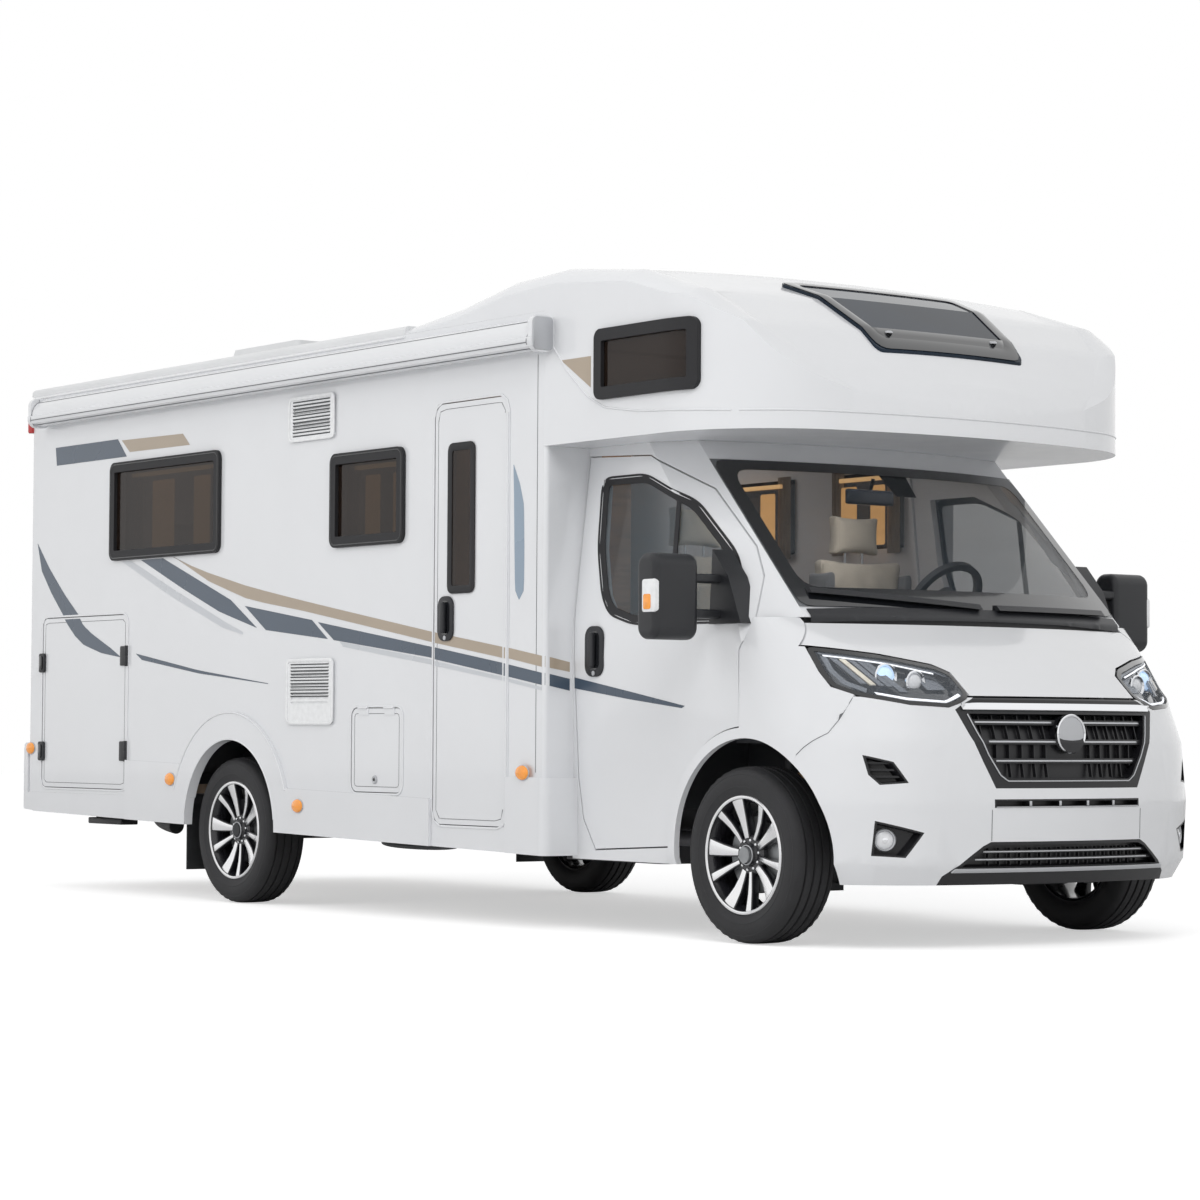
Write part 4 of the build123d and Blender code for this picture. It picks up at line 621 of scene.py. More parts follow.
doorOpenings = {   # rear, front, low, high, corner radius
    "garage_door_right": (-3.095, -2.175, 0.530, 1.412, 0.040),
    "garage_door_left": (-3.095, -2.175, 0.530, 1.412, 0.040),
    "entry_door": (0.616, 1.173, 0.427, 2.262, 0.060), "service_hatch": (-0.050, 0.365, 0.557, 0.932, 0.040)}
sealSize = dict(rimWide=0.014, rimStand=0.0035, gap=0.003, bead=0.0026, lineIn=0.022)

def wallLoop(opening, grow, side, depth):
    rear, front, low, high, radius = opening
    return wallBox(side, depth, rear - grow, front + grow, low - grow, high + grow, max(radius + grow, 0.006))

def ringPiece(name, opening, outerGrow, innerGrow, side, depth, thick, body, finish, slotName="body_white"):
    rows = [ringed(wallLoop(opening, grow, side, depth), 97) for grow in (outerGrow, innerGrow)]
    return draped(name, rows, [], (0, -side, 0), 0, thick, body, finish, slotName, closed=True,
                  soften=thick * 0.3)

for name, opening in doorOpenings.items():
    side = 1 if name.endswith("left") else -1
    s = sealSize
    ringPiece(name + "_rim", opening, s["rimWide"], s["gap"] + 0.001, side, rimFace, s["rimStand"], "coach",
              "paintWhite")
    tube(name + "_seal", wallLoop(opening, 0.0, side, 1.1565), s["bead"], *rubberTrim, closed=True)
    ringPiece(name + "_line", opening, -s["lineIn"], -s["lineIn"] - 0.0025, side, rimFace, 0.0006, bodyOf(name),
              "greyRubber")

latch = dict(wide=0.062, high=0.100, stand=0.014, places=((-3.093, 1.180), (-3.093, 0.716)))
hingeLeaf = dict(wide=0.056, high=0.100, stand=0.008, places=((-2.213, 1.204), (-2.213, 0.722)))
for sideName, side in sides.items():
    body = "garage_door_" + sideName
    for number, (x, z) in enumerate(latch["places"]):
        w, h = latch["wide"] / 2, latch["high"] / 2
        outline = wallBox(side, wallFace, x - w, x + w, z - h, z + h, 0.012)
        plate(f"garage_latch_{number}_{sideName}", outline, (0, side * latch["stand"], 0), body, "blackPlastic",
              "black_trim", 0.004)
        grip = wallBox(side, 1.174, x - w * 0.5, x + w * 0.5, z - h * 0.72, z + h * 0.72, 0.010)
        plate(f"garage_grip_{number}_{sideName}", grip, (0, side * 0.008, 0), body, "blackGloss", "black_trim",
              0.003)
    for number, (x, z) in enumerate(hingeLeaf["places"]):
        w, h = hingeLeaf["wide"] / 2, hingeLeaf["high"] / 2
        outline = wallBox(side, wallFace, x - w, x + w, z - h, z + h, 0.008)
        plate(f"garage_leaf_{number}_{sideName}", outline, (0, side * hingeLeaf["stand"], 0), body,
              "blackPlastic", "black_trim", 0.003)
        spun(f"garage_barrel_{number}_{sideName}",
             [(0.0, -0.052), (0.0085, -0.052), (0.0102, -0.049), (0.0102, -0.002),
             (0.0094, 0.0), (0.0102, 0.002), (0.0102, 0.049), (0.0085, 0.052), (0.0, 0.052)],
             (-2.172, side * 1.169, z),
             zAxis, body, "blackPlastic", "black_trim", 24)

# entry door handle: a rounded black plate, a hollow and an upright grip
def doorHandle(name, x, z, wide, high, side, depth, body):
    w, h = wide / 2, high / 2
    back = wallBox(side, depth, x - w, x + w, z - h, z + h, w * 0.75)
    plate(name + "_plate", back, (0, side * 0.010, 0), body, "blackPlastic", "black_trim", 0.004)
    well = wallBox(side, depth + 0.0102, x - w * 0.62, x + w * 0.62, z - h * 0.72, z + h * 0.80, w * 0.5)
    plate(name + "_well", well, (0, side * 0.0012, 0), body, "blackGloss", "black_trim")
    grip = wallBox(side, depth + 0.012, x - w * 0.26, x + w * 0.26, z - h * 0.66, z + h * 0.74, w * 0.22)
    plate(name + "_grip", grip, (0, side * 0.020, 0), body, "blackPlastic", "black_trim", 0.007)
    spun(name + "_lock", [(0.0, 0.0), (0.0105, 0.0), (0.0105, 0.0025), (0.008, 0.004), (0.0, 0.004)],
         (x, side * (depth + 0.0095), z - h * 0.86), Vector((0, side, 0)), body, "silverPlastic", "black_trim",
         24)
doorHandle("entry_handle", 0.712, 1.322, 0.118, 0.196, -1, wallFace, "entry_door")
spun("hatch_lock", [(0.0, 0.0), (0.019, 0.0), (0.019, 0.005), (0.015, 0.008), (0.012, 0.0065), (0.0, 0.0065)],
     (0.146, -rimFace, 0.612), Vector((0, -1, 0)), "service_hatch", "silverPlastic", "black_trim", 32)
spun("hatch_key", [(0.0, 0.0), (0.007, 0.0), (0.007, 0.0015), (0.0, 0.0015)], (0.146, -1.1668, 0.612),
     Vector((0, -1, 0)),
     "service_hatch", "blackGloss", "black_trim", 20)
# glazed strip in the entry door has a black rubber border
ringPiece("entry_pane_border", (0.726, 0.926, 1.433, 2.083, 0.030), 0.004, -0.030, -1, 1.1642, 0.003,
          "entry_door",
          "blackRubber", "black_trim")
print("doors done")

# front end

lampOutline = [(0.926, 1.1673), (0.688, 1.135), (0.5065, 1.097), (0.4555, 1.0665), (0.4515, 0.978),
               (0.502, 0.950),
               (0.558, 0.932), (0.700, 0.941), (0.842, 0.972), (0.905, 1.010), (0.918, 1.068)]
lampShape = dict(edge=0.016, coverThick=0.002, steps=120, middle=(0.70, 1.045))

def loopPoints(outline, count, side=1):
    return ringed([(outside, side * y, z) for y, z in outline], count)

def shrunk(outline, share):
    across, up = lampShape["middle"]
    return [(across + (y - across) * share, up + (z - up) * share) for y, z in outline]

for sideName, side in sides.items():
    tight = softened(lampOutline, 0.020)
    n = lampShape["steps"]
    housing = [loopPoints(shrunk(tight, share), n, side)
               for share in (0.995, 0.985, 0.965, 0.90, 0.6, 0.3, 0.04)]
    draped("headlight_shell_" + sideName, housing, ["headlights"], inward,
           [-0.004, -0.018, -0.046, -0.058, -0.062, -0.064, -0.064],
                   0.002, *glossTrim, closed=True)
    border = [loopPoints(grown(tight, -0.001), n, side), loopPoints(grown(tight, -lampShape["edge"]), n, side)]
    draped("headlight_border_" + sideName, border, ["headlights"], inward, [0.0, 0.0015], 0.0015, *glossTrim,
           closed=True)
    cover = [loopPoints(grown(tight, -0.010), n, side)] + [loopPoints(shrunk(tight, share), n, side)
                                                           for share in (0.75, 0.5, 0.25, 0.03)]
    glassCover = draped("headlight_cover_" + sideName, cover, ["headlights"], inward,
                        [-0.001, 0.0006, 0.001, 0.001, 0.001],
                        lampShape["coverThick"], "coach", "lampCover", "lamp_lens", closed=True)
    if side < 0:
        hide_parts("headlights")
    def strip(name, upper, lower, lift, thick, finish, along=24):
        rows = between(*[[(outside, side * y, z) for y, z in edge] for edge in (upper, lower)], along, 3)
        return draped(name + "_" + sideName, rows, ["headlights"], inward, lift, thick, "coach", finish,
                      "lamp_lens", soften=0.001)
    # chrome brow along the top, white light strips, slanted cream bands and the lower strip
    strip("lamp_brow", [(0.895, 1.148), (0.688, 1.117), (0.515, 1.080), (0.476, 1.060)],
          [(0.893, 1.136), (0.688, 1.104), (0.520, 1.067), (0.478, 1.048)], -0.014, 0.004, "lampChrome")
    strip("lamp_brow_light", [(0.885, 1.1345), (0.688, 1.1025), (0.523, 1.0655)],
          [(0.884, 1.1285), (0.688, 1.0965), (0.525, 1.0600)], -0.012, 0.003, "lampWhite")
    strip("lamp_edge_light", [(0.893, 1.128), (0.888, 1.070), (0.868, 1.018), (0.815, 0.986)],
          [(0.876, 1.126), (0.873, 1.074), (0.853, 1.030), (0.806, 1.002)], -0.012, 0.004, "lampChrome")
    for k in range(4):
        y = 0.862 - 0.026 * k
        strip(f"lamp_band_{k}", [(y, 1.118 - 0.004 * k), (y - 0.052, 1.018 - 0.004 * k)],
              [(y - 0.019, 1.116 - 0.004 * k), (y - 0.071, 1.018 - 0.004 * k)], -0.030, 0.010,
              "lampCream" if k == 1 else "lampChrome", 8)
    strip("lamp_wedge", [(0.762, 1.100), (0.700, 0.985)], [(0.742, 1.098), (0.672, 0.983)], -0.034, 0.012,
          "lampChrome", 8)
    strip("lamp_lower_light", [(0.790, 0.989), (0.700, 0.968), (0.560, 0.958), (0.485, 0.985)],
          [(0.786, 0.980), (0.700, 0.959), (0.556, 0.949), (0.480, 0.976)], -0.014, 0.004, "lampWhite")
    strip("lamp_inner_fin", [(0.600, 1.086), (0.505, 1.066)], [(0.580, 0.998), (0.500, 0.998)], -0.046, 0.004,
          "lampChrome", 10)
    for key, (y, z), radius in (("main", (0.706, 1.050), 0.040), ("second", (0.606, 1.030), 0.033)):
        place = frontHit(["headlights"], side * y, z)
        middle = (place.x - 0.052, place.y, place.z)
        aim = Vector((1, side * 0.12, 0.02)).normalized()
        spun(f"lamp_{key}_ring_{sideName}", [(radius, 0.0), (radius + 0.012, 0.006), (radius + 0.013, 0.016),
                                             (radius + 0.008, 0.020),
             (radius + 0.001, 0.012)], middle, aim, "coach", "chrome", "lamp_lens", 48)
        dome = [(0.0, 0.004)] + [(radius * math.sin(a), 0.004 + radius * 0.55 * math.cos(a)) for a in
                [math.radians(90 - 10 * k) for k in range(9)]] + [(0.0, 0.004 + radius * 0.55)]
        spun(f"lamp_{key}_ball_{sideName}", dome, middle, aim, "coach",
             "lampBlue" if key == "main" else "clearLens", "lamp_lens", 40)
    # round fog lamp in its pocket
    fog = frontHit(["headlights"], side * 0.806, 0.424)
    turn = Vector((1, side * 0.55, 0)).normalized()
    seat = tuple(fog - turn * 0.026)
    for key, profile, finish, steps in (
            ("ring", [(0.033, 0.0), (0.044, 0.0), (0.045, 0.016), (0.041, 0.021), (0.035, 0.016)],
             "silverPlastic", 48),
            ("glass", [(0.0, 0.002), (0.034, 0.002), (0.034, 0.013), (0.026, 0.0185), (0.013, 0.0215),
                       (0.0, 0.0225)], "clearLens", 40),
            ("bulb", [(0.0, 0.021), (0.011, 0.021), (0.011, 0.0245), (0.006, 0.0262), (0.0, 0.0265)], "chrome",
             24)):
        spun(f"fog_{key}_{sideName}", profile, seat, turn, "coach", finish, "lamp_lens", steps)

# chrome bar and slats of the grille, and other strips on the front
grilleTarget = ["grille"]
def faceStrip(name, upper, lower, lift, thick, finish, along=40, slotName="grille_black", soften=0.0015,
              targets=grilleTarget, rows=3):
    grid = between(onFront(upper), onFront(lower), along, rows)
    return draped(name, grid, targets, inward, lift, thick, "coach", finish, slotName, soften=soften)

faceStrip("chrome_bar", [(-0.512, 0.951), (0.512, 0.951)], [(-0.505, 0.922), (0.505, 0.922)], 0.0005, 0.010,
          "chrome", soften=0.004)
for z, reach in ((0.877, 0.448), (0.802, 0.402), (0.728, 0.372)):
    for way in (-1, 1):
        inside = 0.078 if abs(z - 0.834) < 0.06 else 0.0
        faceStrip(f"grille_slat_{int(z * 1000)}_{sideWord(way)}",
                  [(way * inside, z + 0.0035), (way * reach, z + 0.0035)],
                  [(way * inside, z - 0.0035), (way * reach, z - 0.0035)], 0.0005, 0.003, "silverPlastic", 30)
# thin silver line round the inside of the grille
grilleInside = [(0.475, 0.910), (0.446, 0.835), (0.405, 0.751), (0.353, 0.674), (0.327, 0.658)]
lineOut = [(y + 0.013, z - 0.003) for y, z in grilleInside[:-1]] + [(0.330, 0.6475)]
lineIn = [(y + 0.008, z) for y, z in grilleInside[:-1]] + [(0.329, 0.6525)]
faceStrip("grille_line", [(-y, z) for y, z in lineOut] + list(reversed(lineOut)),
          [(-y, z) for y, z in lineIn] + list(reversed(lineIn)),
          0.0005, 0.003, "silverPlastic", 120)
# black uprights between the slats
for number in range(15):
    y = -0.42 + 0.84 * number / 14
    if abs(y) < 0.085:
        continue
    low = 0.664 if abs(y) < 0.33 else 0.664 + (abs(y) - 0.33) * 1.55
    met = [(frontHit(grilleTarget, y, z), z) for z in (0.877, 0.802, 0.728)]
    keep = [(place.x - 0.008, z) for place, z in met if place]
    if len(keep) < 2:
        continue
    slope = (keep[0][0] - keep[-1][0]) / (keep[0][1] - keep[-1][1])
    line = [(keep[0][0] + slope * (0.905 - keep[0][1]),
             0.905)] + keep + [(keep[-1][0] + slope * (low - keep[-1][1]), low)]
    outline = [(x, y - 0.002, z) for x, z in line] + [(x - 0.016, y - 0.002, z) for x, z in reversed(line)]
    plate(f"grille_upright_{number}", outline, (0, 0.004, 0), "coach", "grilleBlack", "grille_black")
# badge: a plain domed disc in a bright ring
badge = frontHit(grilleTarget, 0, 0.834)
for key, profile, finish, steps in (
        ("ring", [(0.066, -0.010), (0.0765, -0.010), (0.0775, 0.004), (0.074, 0.009), (0.068, 0.006)], "chrome",
         72),
        ("disc", [(0.0, -0.008), (0.067, -0.008), (0.067, 0.004), (0.05, 0.0065), (0.025, 0.0078),
                  (0.0, 0.008)], "badgeGrey", 64)):
    spun("badge_" + key, profile, (badge.x, 0, 0.834), xAxis, "coach", finish, "grille_black", steps)
# bars in the slot row and the strip below them
for number, y in enumerate((-0.225, -0.075, 0.075, 0.225)):
    faceStrip(f"slot_bar_{number}", [(y - 0.006, 0.573), (y + 0.006, 0.573)],
              [(y - 0.006, 0.554), (y + 0.006, 0.554)], 0.001, 0.004,
              "silverPlastic", 4)
faceStrip("slot_lip", [(-0.385, 0.552), (0.385, 0.552)], [(-0.385, 0.5475), (0.385, 0.5475)], 0.0005, 0.003,
          "silverPlastic", 40)
# lower grille: two thin slats, uprights and a silver lip with the black lip under it
for z, reach in ((0.378, 0.430), (0.348, 0.465)):
    faceStrip(f"lower_slat_{int(z * 1000)}", [(-reach, z + 0.0025), (reach, z + 0.0025)],
              [(-reach, z - 0.0025), (reach, z - 0.0025)],
              0.0005, 0.002, "badgeGrey", 40)
faceStrip("lower_lip", [(-0.560, 0.316), (0.560, 0.316)], [(-0.572, 0.300), (0.572, 0.300)], 0.001, 0.008,
          "silverPlastic", 50, soften=0.003)
for number in range(17):
    y = -0.40 + 0.80 * number / 16
    met = frontHit(grilleTarget, y, 0.378)
    under = frontHit(grilleTarget, y, 0.348)
    if met and under:
        outline = [(met.x - 0.005, y - 0.0015, 0.392), (under.x - 0.005, y - 0.0015, 0.325),
                   (under.x - 0.020, y - 0.0015, 0.325),
                   (met.x - 0.020, y - 0.0015, 0.392)]
        plate(f"lower_upright_{number}", outline, (0, 0.003, 0), "coach", "grilleBlack", "grille_black")
# joint lines of the blank plate panel
for sideName, side in sides.items():
    faceStrip("plate_seam_" + sideName, [(side * 0.402, 0.540), (side * 0.4045, 0.540)],
              [(side * 0.402, 0.420), (side * 0.4045, 0.420)], 0.0003, 0.0008, "greyRubber", 3, "body_white",
              0.0, ["front_bumper"], 12)
print("front done")

# windscreen, cab windows and mirrors

screenOuter = softened([(-0.865, 1.328), (0.865, 1.328), (0.837, 1.949), (-0.837, 1.949)], 0.050, 6)
screenInner = softened([(-0.800, 1.408), (0.800, 1.408), (0.778, 1.906), (-0.778, 1.906)], 0.070, 6)
rows = bands(loopPoints(grown(screenOuter, -0.003), 161), loopPoints(screenInner, 161), (0, 0.33, 0.66, 1))
draped("screen_border", rows, ["windscreen"], inward, 0.0006, 0.0012, "coach", "blackGloss", "screen_glass",
       closed=True)
faceStrip("sensor_pod", [(-0.075, 1.912), (0.075, 1.912)], [(-0.055, 1.815), (0.055, 1.815)], -0.012, 0.004,
          "blackGloss", 8, "black_trim",
          0.002, ["windscreen"], 6)

windowOutline = [(1.570, 1.890), (1.585, 1.600), (1.645, 1.400), (1.705, 1.325), (1.870, 1.282), (2.560, 1.275),
                 (2.490, 1.440),
                 (2.420, 1.545), (2.170, 1.765), (1.860, 1.890)]
for sideName, side in sides.items():
    body = "cab_door_" + sideName
    targets = [body, "door_glass_" + sideName]
    smooth = softened(windowOutline, 0.055, 6)
    outer, inner = [ringed(onSide(grown(smooth, grow), side), 141) for grow in (0.012, -0.026)]
    rows = bands(outer, inner, (0, 0.5, 1))
    draped("door_window_rubber_" + sideName, rows, targets, (0, -side, 0), [0.0012, 0.0045, 0.0015], 0.003,
           body, "blackRubber",
           "black_trim", closed=True)
    bar = between([(2.076, side * 1.2, 1.776), (2.104, side * 1.2, 1.768)],
                  [(2.090, side * 1.2, 1.290), (2.120, side * 1.2, 1.290)], 4, 16)
    draped("door_window_bar_" + sideName, bar, ["door_glass_" + sideName], (0, -side, 0), 0.001, 0.005, body,
           "blackRubber", "black_trim",
           soften=0.0015)
    # handle of the cab door, on the door's surface
    met = sideHit([body], 1.610, 1.167, side)
    doorHandle("cab_handle_" + sideName, 1.610, 1.167, 0.128, 0.212, side, abs(met.y) - 0.003, body)
    # lamp and glasses on the mirror head
    lampBox = wallBox(side, 1.336, 2.392, 2.478, 1.300, 1.432, 0.014)
    plate("mirror_lamp_" + sideName, lampBox, (0, side * 0.0365, 0), body, "whiteLens", "orange_lens", 0.006)
    amber = wallBox(side, 1.3726, 2.404, 2.452, 1.312, 1.372, 0.010)
    plate("mirror_amber_" + sideName, amber, (0, side * 0.0012, 0), body, "amberLens", "orange_lens", 0.0005)
    for key, (low, high, corner) in {"glass": (1.330, 1.515, 0.030), "wide": (1.215, 1.315, 0.026)}.items():
        pane = [(2.3505, side * y, z) for y, z in roundBox(1.172, 1.350, low, high, corner)]
        plate(f"mirror_{key}_{sideName}", pane, (-0.002, 0, 0), body, "mirrorGlass", "black_trim")
print("cab glass done")

# wheels

wheel = dict(x=2.560, y=0.8975, z=0.350, rearShift=-3.740, rearOut=0.120, wideTurn=101, thinTurn=62, bolts=10)
out = Vector((0, -1, 0))
hub = Vector((wheel["x"], -wheel["y"], wheel["z"]))

tyreProfile = [(0.236, -0.088), (0.246, -0.097), (0.262, -0.1035), (0.285, -0.1070), (0.305, -0.1065),
               (0.322, -0.1020), (0.333, -0.096),
               (0.341, -0.089), (0.3465, -0.078), (0.3480, -0.066), (0.3405, -0.064), (0.3405, -0.057),
               (0.3490, -0.055), (0.3498, -0.026),
               (0.3412, -0.024), (0.3412, -0.016), (0.3499, -0.014), (0.3499, 0.014), (0.3412, 0.016),
               (0.3412, 0.024), (0.3498, 0.026),
               (0.3490, 0.055), (0.3405, 0.057), (0.3405, 0.064), (0.3480, 0.066), (0.3465, 0.078),
               (0.341, 0.089), (0.333, 0.096),
               (0.322, 0.1020), (0.318, 0.1035), (0.316, 0.1028), (0.305, 0.1065), (0.285, 0.1070),
               (0.272, 0.1056), (0.270, 0.1065),
               (0.262, 0.1035), (0.246, 0.097), (0.240, 0.0965), (0.236, 0.088), (0.252, 0.074), (0.300, 0.088),
               (0.325, 0.060),
               (0.330, 0.0), (0.325, -0.060), (0.300, -0.088), (0.252, -0.074)]
tyre = spun("tyre_front_right_skin", tyreProfile, hub, out, "wheel_front_right", "tyreRubber", "tyre", 96, 25)
# cross grooves in the shoulders, pressed in with the tread's own points
activate(tyre)
for vertex in tyre.data.vertices:
    away = Vector((vertex.co.x - hub.x, 0, vertex.co.z - hub.z))
    along = abs(vertex.co.y - hub.y)
    if 0.070 < along < 0.092 and away.length > 0.338 and round(math.degrees(math.atan2(away.z,
            away.x)) / 3.75) % 2:
        vertex.co -= away.normalized() * 0.004

wheelTurned = {   # name: finish, steps and the (radius, along) profile
    "wheel_barrel": ("alloyBlack", 96, [
        (0.2375, 0.093), (0.230, 0.0975), (0.222, 0.094), (0.217, 0.080), (0.207, 0.062), (0.204, -0.02),
        (0.214, -0.084),
        (0.226, -0.090), (0.2375, -0.088), (0.236, -0.076), (0.221, -0.062), (0.212, 0.0), (0.221, 0.070),
        (0.236, 0.082)]),
    "wheel_lip": ("alloyBright", 96, [
        (0.2382, 0.0930), (0.2335, 0.0982), (0.2270, 0.0985), (0.2225, 0.0955), (0.2215, 0.0900),
        (0.230, 0.0890)]),
    "wheel_centre": ("alloyBlack", 64, [
        (0.0, 0.030), (0.078, 0.030), (0.080, 0.052), (0.072, 0.060), (0.048, 0.060), (0.044, 0.066),
        (0.041, 0.075),
        (0.037, 0.077), (0.035, 0.074), (0.018, 0.0765), (0.0, 0.077)]),
    "wheel_cap_ring": ("badgeGrey", 48, [
        (0.0355, 0.0755), (0.0395, 0.0755), (0.0395, 0.0785), (0.0370, 0.0795), (0.0355, 0.0780)]),
    "brake_disc": ("castAlloy", 64, [
        (0.05, 0.004), (0.150, 0.004), (0.152, 0.006), (0.152, 0.026), (0.150, 0.028), (0.05, 0.028)]),
}
barrel, lip, centre, capRing, disc = [
    spun(name, profile, hub, out, "wheel_front_right", finish, "rim_alloy", steps, 30)
    for name, (finish, steps, profile) in wheelTurned.items()]

def spokePoint(angle, radius, across, along):
    ray = Vector((math.cos(angle), 0, math.sin(angle)))
    cross = Vector((-math.sin(angle), 0, math.cos(angle)))
    return hub + ray * radius + cross * across + out * along

def spoke(name, angle, nearHalf, farHalf, sweep, finish, deep, proud, shrink):
    # a wedge from the hub to the rim, its face dished towards the hub
    stations = [(0.066 + shrink, 0.0615), (0.105, 0.0640), (0.150, 0.0700), (0.190, 0.0800),
                (0.2235 - shrink, 0.0890)]
    edges = []
    for radius, along in stations:
        share = (radius - 0.066) / 0.158
        half = nearHalf + (farHalf - nearHalf) * share ** 1.4 - shrink
        shift = sweep * math.sin(share * math.pi)
        edges.append([spokePoint(angle, radius, shift + way * half, along + proud) for way in (-1, 1)])
    clearAll()
    bpy.ops.mesh.primitive_grid_add(x_subdivisions=4, y_subdivisions=2, size=1)
    piece = bpy.context.object
    for c, (low, high) in enumerate(edges):
        for r, t in enumerate((0, 0.5, 1)):
            piece.data.vertices[r * len(edges) + c].co = low.lerp(high, t)
    thicken(piece, deep, out)
    addModifier(piece, "BEVEL", width=min(0.003, deep * 0.3), segments=2, limit_method="ANGLE",
                angle_limit=math.radians(50))
    return settle(piece, name, "wheel_front_right", finish, 35)

blackParts, brightParts = [barrel, centre], [lip]
for k in range(5):
    for turn, near, far, sweep in ((wheel["wideTurn"], 0.013, 0.034, 0.004),
                                   (wheel["thinTurn"], 0.008, 0.017, -0.004)):
        angle = math.radians(turn + 72 * k)
        blackParts.append(spoke(f"spoke_{turn}_{k}", angle, near + 0.004, far + 0.004, sweep, "alloyBlack",
                                0.034, 0.0, 0.0))
        brightParts.append(spoke(f"spoke_face_{turn}_{k}", angle, near, far, sweep, "alloyBright", 0.0016,
                                 0.0016, 0.0012))
boltParts = []
for k in range(wheel["bolts"]):
    angle = math.radians(36 * k + 10)
    place = spokePoint(angle, 0.0585, 0, 0.0)
    boltParts.append(spun(f"bolt_{k}", [(0.0, 0.058), (0.0062, 0.058), (0.0062, 0.064), (0.0045, 0.0665),
                                        (0.0, 0.067)], place, out,
                          "wheel_front_right", "chrome", "rim_alloy", 6, 20))

def joined(parts, name):
    clearAll()
    for part in parts:
        part.select_set(True)
    bpy.context.view_layer.objects.active = parts[0]
    bpy.ops.object.join()
    whole = bpy.context.object
    whole.name = name
    whole.data.name = name
    return whole

rimBlack = joined(blackParts, "rim_front_right_skin")
rimBright = joined(brightParts, "rim_bright_front_right")
rimBolts = joined(boltParts + [capRing], "rim_bolts_front_right")
disc.name = "brake_disc_front_right"
wheelParts = {"tyre": tyre, "rim": rimBlack, "bright": rimBright, "bolts": rimBolts, "disc": disc}
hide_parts("tyre_front_right")
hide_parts("rim_front_right")
for spot, shift, outward in (("front", 0.0, 0.0), ("rear", wheel["rearShift"], wheel["rearOut"])):
    for sideName, side in sides.items():
        if spot == "front" and side < 0:
            continue
        body = f"wheel_{spot}_{sideName}"
        def placed(p, shift=shift, outward=outward, side=side):
            return Vector((p.x + shift, -side * (p.y - outward), p.z))
        for key, part in wheelParts.items():
            twin = copied(part, f"{key}_{spot}_{sideName}_skin", body, placed)
            if key in ("tyre", "rim"):
                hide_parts(f"{key}_{spot}_{sideName}")
print("wheels done")

# seats, cushions and curtains

def pad(name, low, high, crown, pinch, body, finish, channels=0):
    # a crowned cushion with its sides drawn in between the corners
    clearAll()
    bpy.ops.mesh.primitive_cube_add(size=2)
    piece = bpy.context.object
    inEdit((bpy.ops.mesh.subdivide, dict(number_cuts=11, smoothness=0)))
    middle = [(a + b) / 2 for a, b in zip(low, high)]
    half = [(b - a) / 2 for a, b in zip(low, high)]
    thin = half.index(min(half))
    flat = [i for i in range(3) if i != thin]
    for vertex in piece.data.vertices:
        p = list(vertex.co)
        u, v = p[flat[0]], p[flat[1]]
        bulge = (1 - u * u) * (1 - v * v)
        place = [0, 0, 0]
        edge = 1 - 0.30 * max(abs(u), abs(v)) ** 10
        place[thin] = p[thin] * half[thin] * edge + math.copysign(1,
                p[thin]) * crown * (bulge - 0.45) * (abs(p[thin]) > 0.5)
        place[flat[0]] = u * (half[flat[0]] - pinch * (1 - v * v) * abs(u) ** 3) * (1 - 0.035 * p[thin] ** 2)
        place[flat[1]] = v * (half[flat[1]] - pinch * (1 - u * u) * abs(v) ** 3) * (1 - 0.035 * p[thin] ** 2)
        if channels and abs(p[thin]) > 0.5:
            groove = abs(math.sin(u * math.pi * channels / 2))
            place[thin] -= math.copysign(1, p[thin]) * 0.008 * (1 - min(groove * 2.2, 1)) * (abs(v) < 0.96)
        vertex.co = [a + b for a, b in zip(place, middle)]
    addModifier(piece, "SUBSURF", levels=1, render_levels=1)
    settle(piece, name, body, finish, 80)
    return piece

seat = dict(place=0.45, half=0.245, base=(1.600, 2.085, 0.925, 1.075), back=(1.520, 1.650, 1.065, 1.600),
            head=(1.512, 1.598, 1.625, 1.795))
for sideName, side in sides.items():
    y = side * seat["place"]
    x0, x1, z0, z1 = seat["base"]
    base = pad("seat_base_" + sideName, (x0, y - seat["half"], z0), (x1, y + seat["half"], z1), 0.018, 0.012,
               "coach", "seatCloth", channels=4)
    if side < 0:
        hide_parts("cab_seats")
    x0, x1, z0, z1 = seat["back"]
    pad("seat_back_" + sideName, (x0, y - seat["half"] + 0.01, z0), (x1, y + seat["half"] - 0.01, z1), 0.016,
        0.016, "coach", "seatCloth", channels=4)
    for way in (-1, 1):
        cy = y + way * (seat["half"] - 0.020)
        pad(f"seat_bolster_{'outer' if way * side > 0 else 'inner'}_{sideName}",
            (x0 + 0.012, cy - 0.030, z0 + 0.03), (x1 + 0.028, cy + 0.030, z1 - 0.06),
            0.008, 0.006, "coach", "seatGrey")
    x0, x1, z0, z1 = seat["head"]
    pad("seat_head_" + sideName, (x0, y - 0.13, z0), (x1, y + 0.13, z1), 0.012, 0.010, "coach", "seatCloth")
    for way in (-1, 1):
        tube(f"seat_post_{'outer' if way * side > 0 else 'inner'}_{sideName}",
             [(1.555, y + way * 0.05, 1.56), (1.555, y + way * 0.05, 1.66)], 0.006,
             "coach", "chrome", "black_trim")
    plinth = [(1.62, y - 0.20, 0.5655), (1.97, y - 0.20, 0.5655), (1.99, y - 0.22, 0.915),
              (1.61, y - 0.22, 0.930)]
    plate("seat_plinth_" + sideName, plinth, (0, 0.42, 0), "coach", "cabPlastic", "black_trim", 0.012)

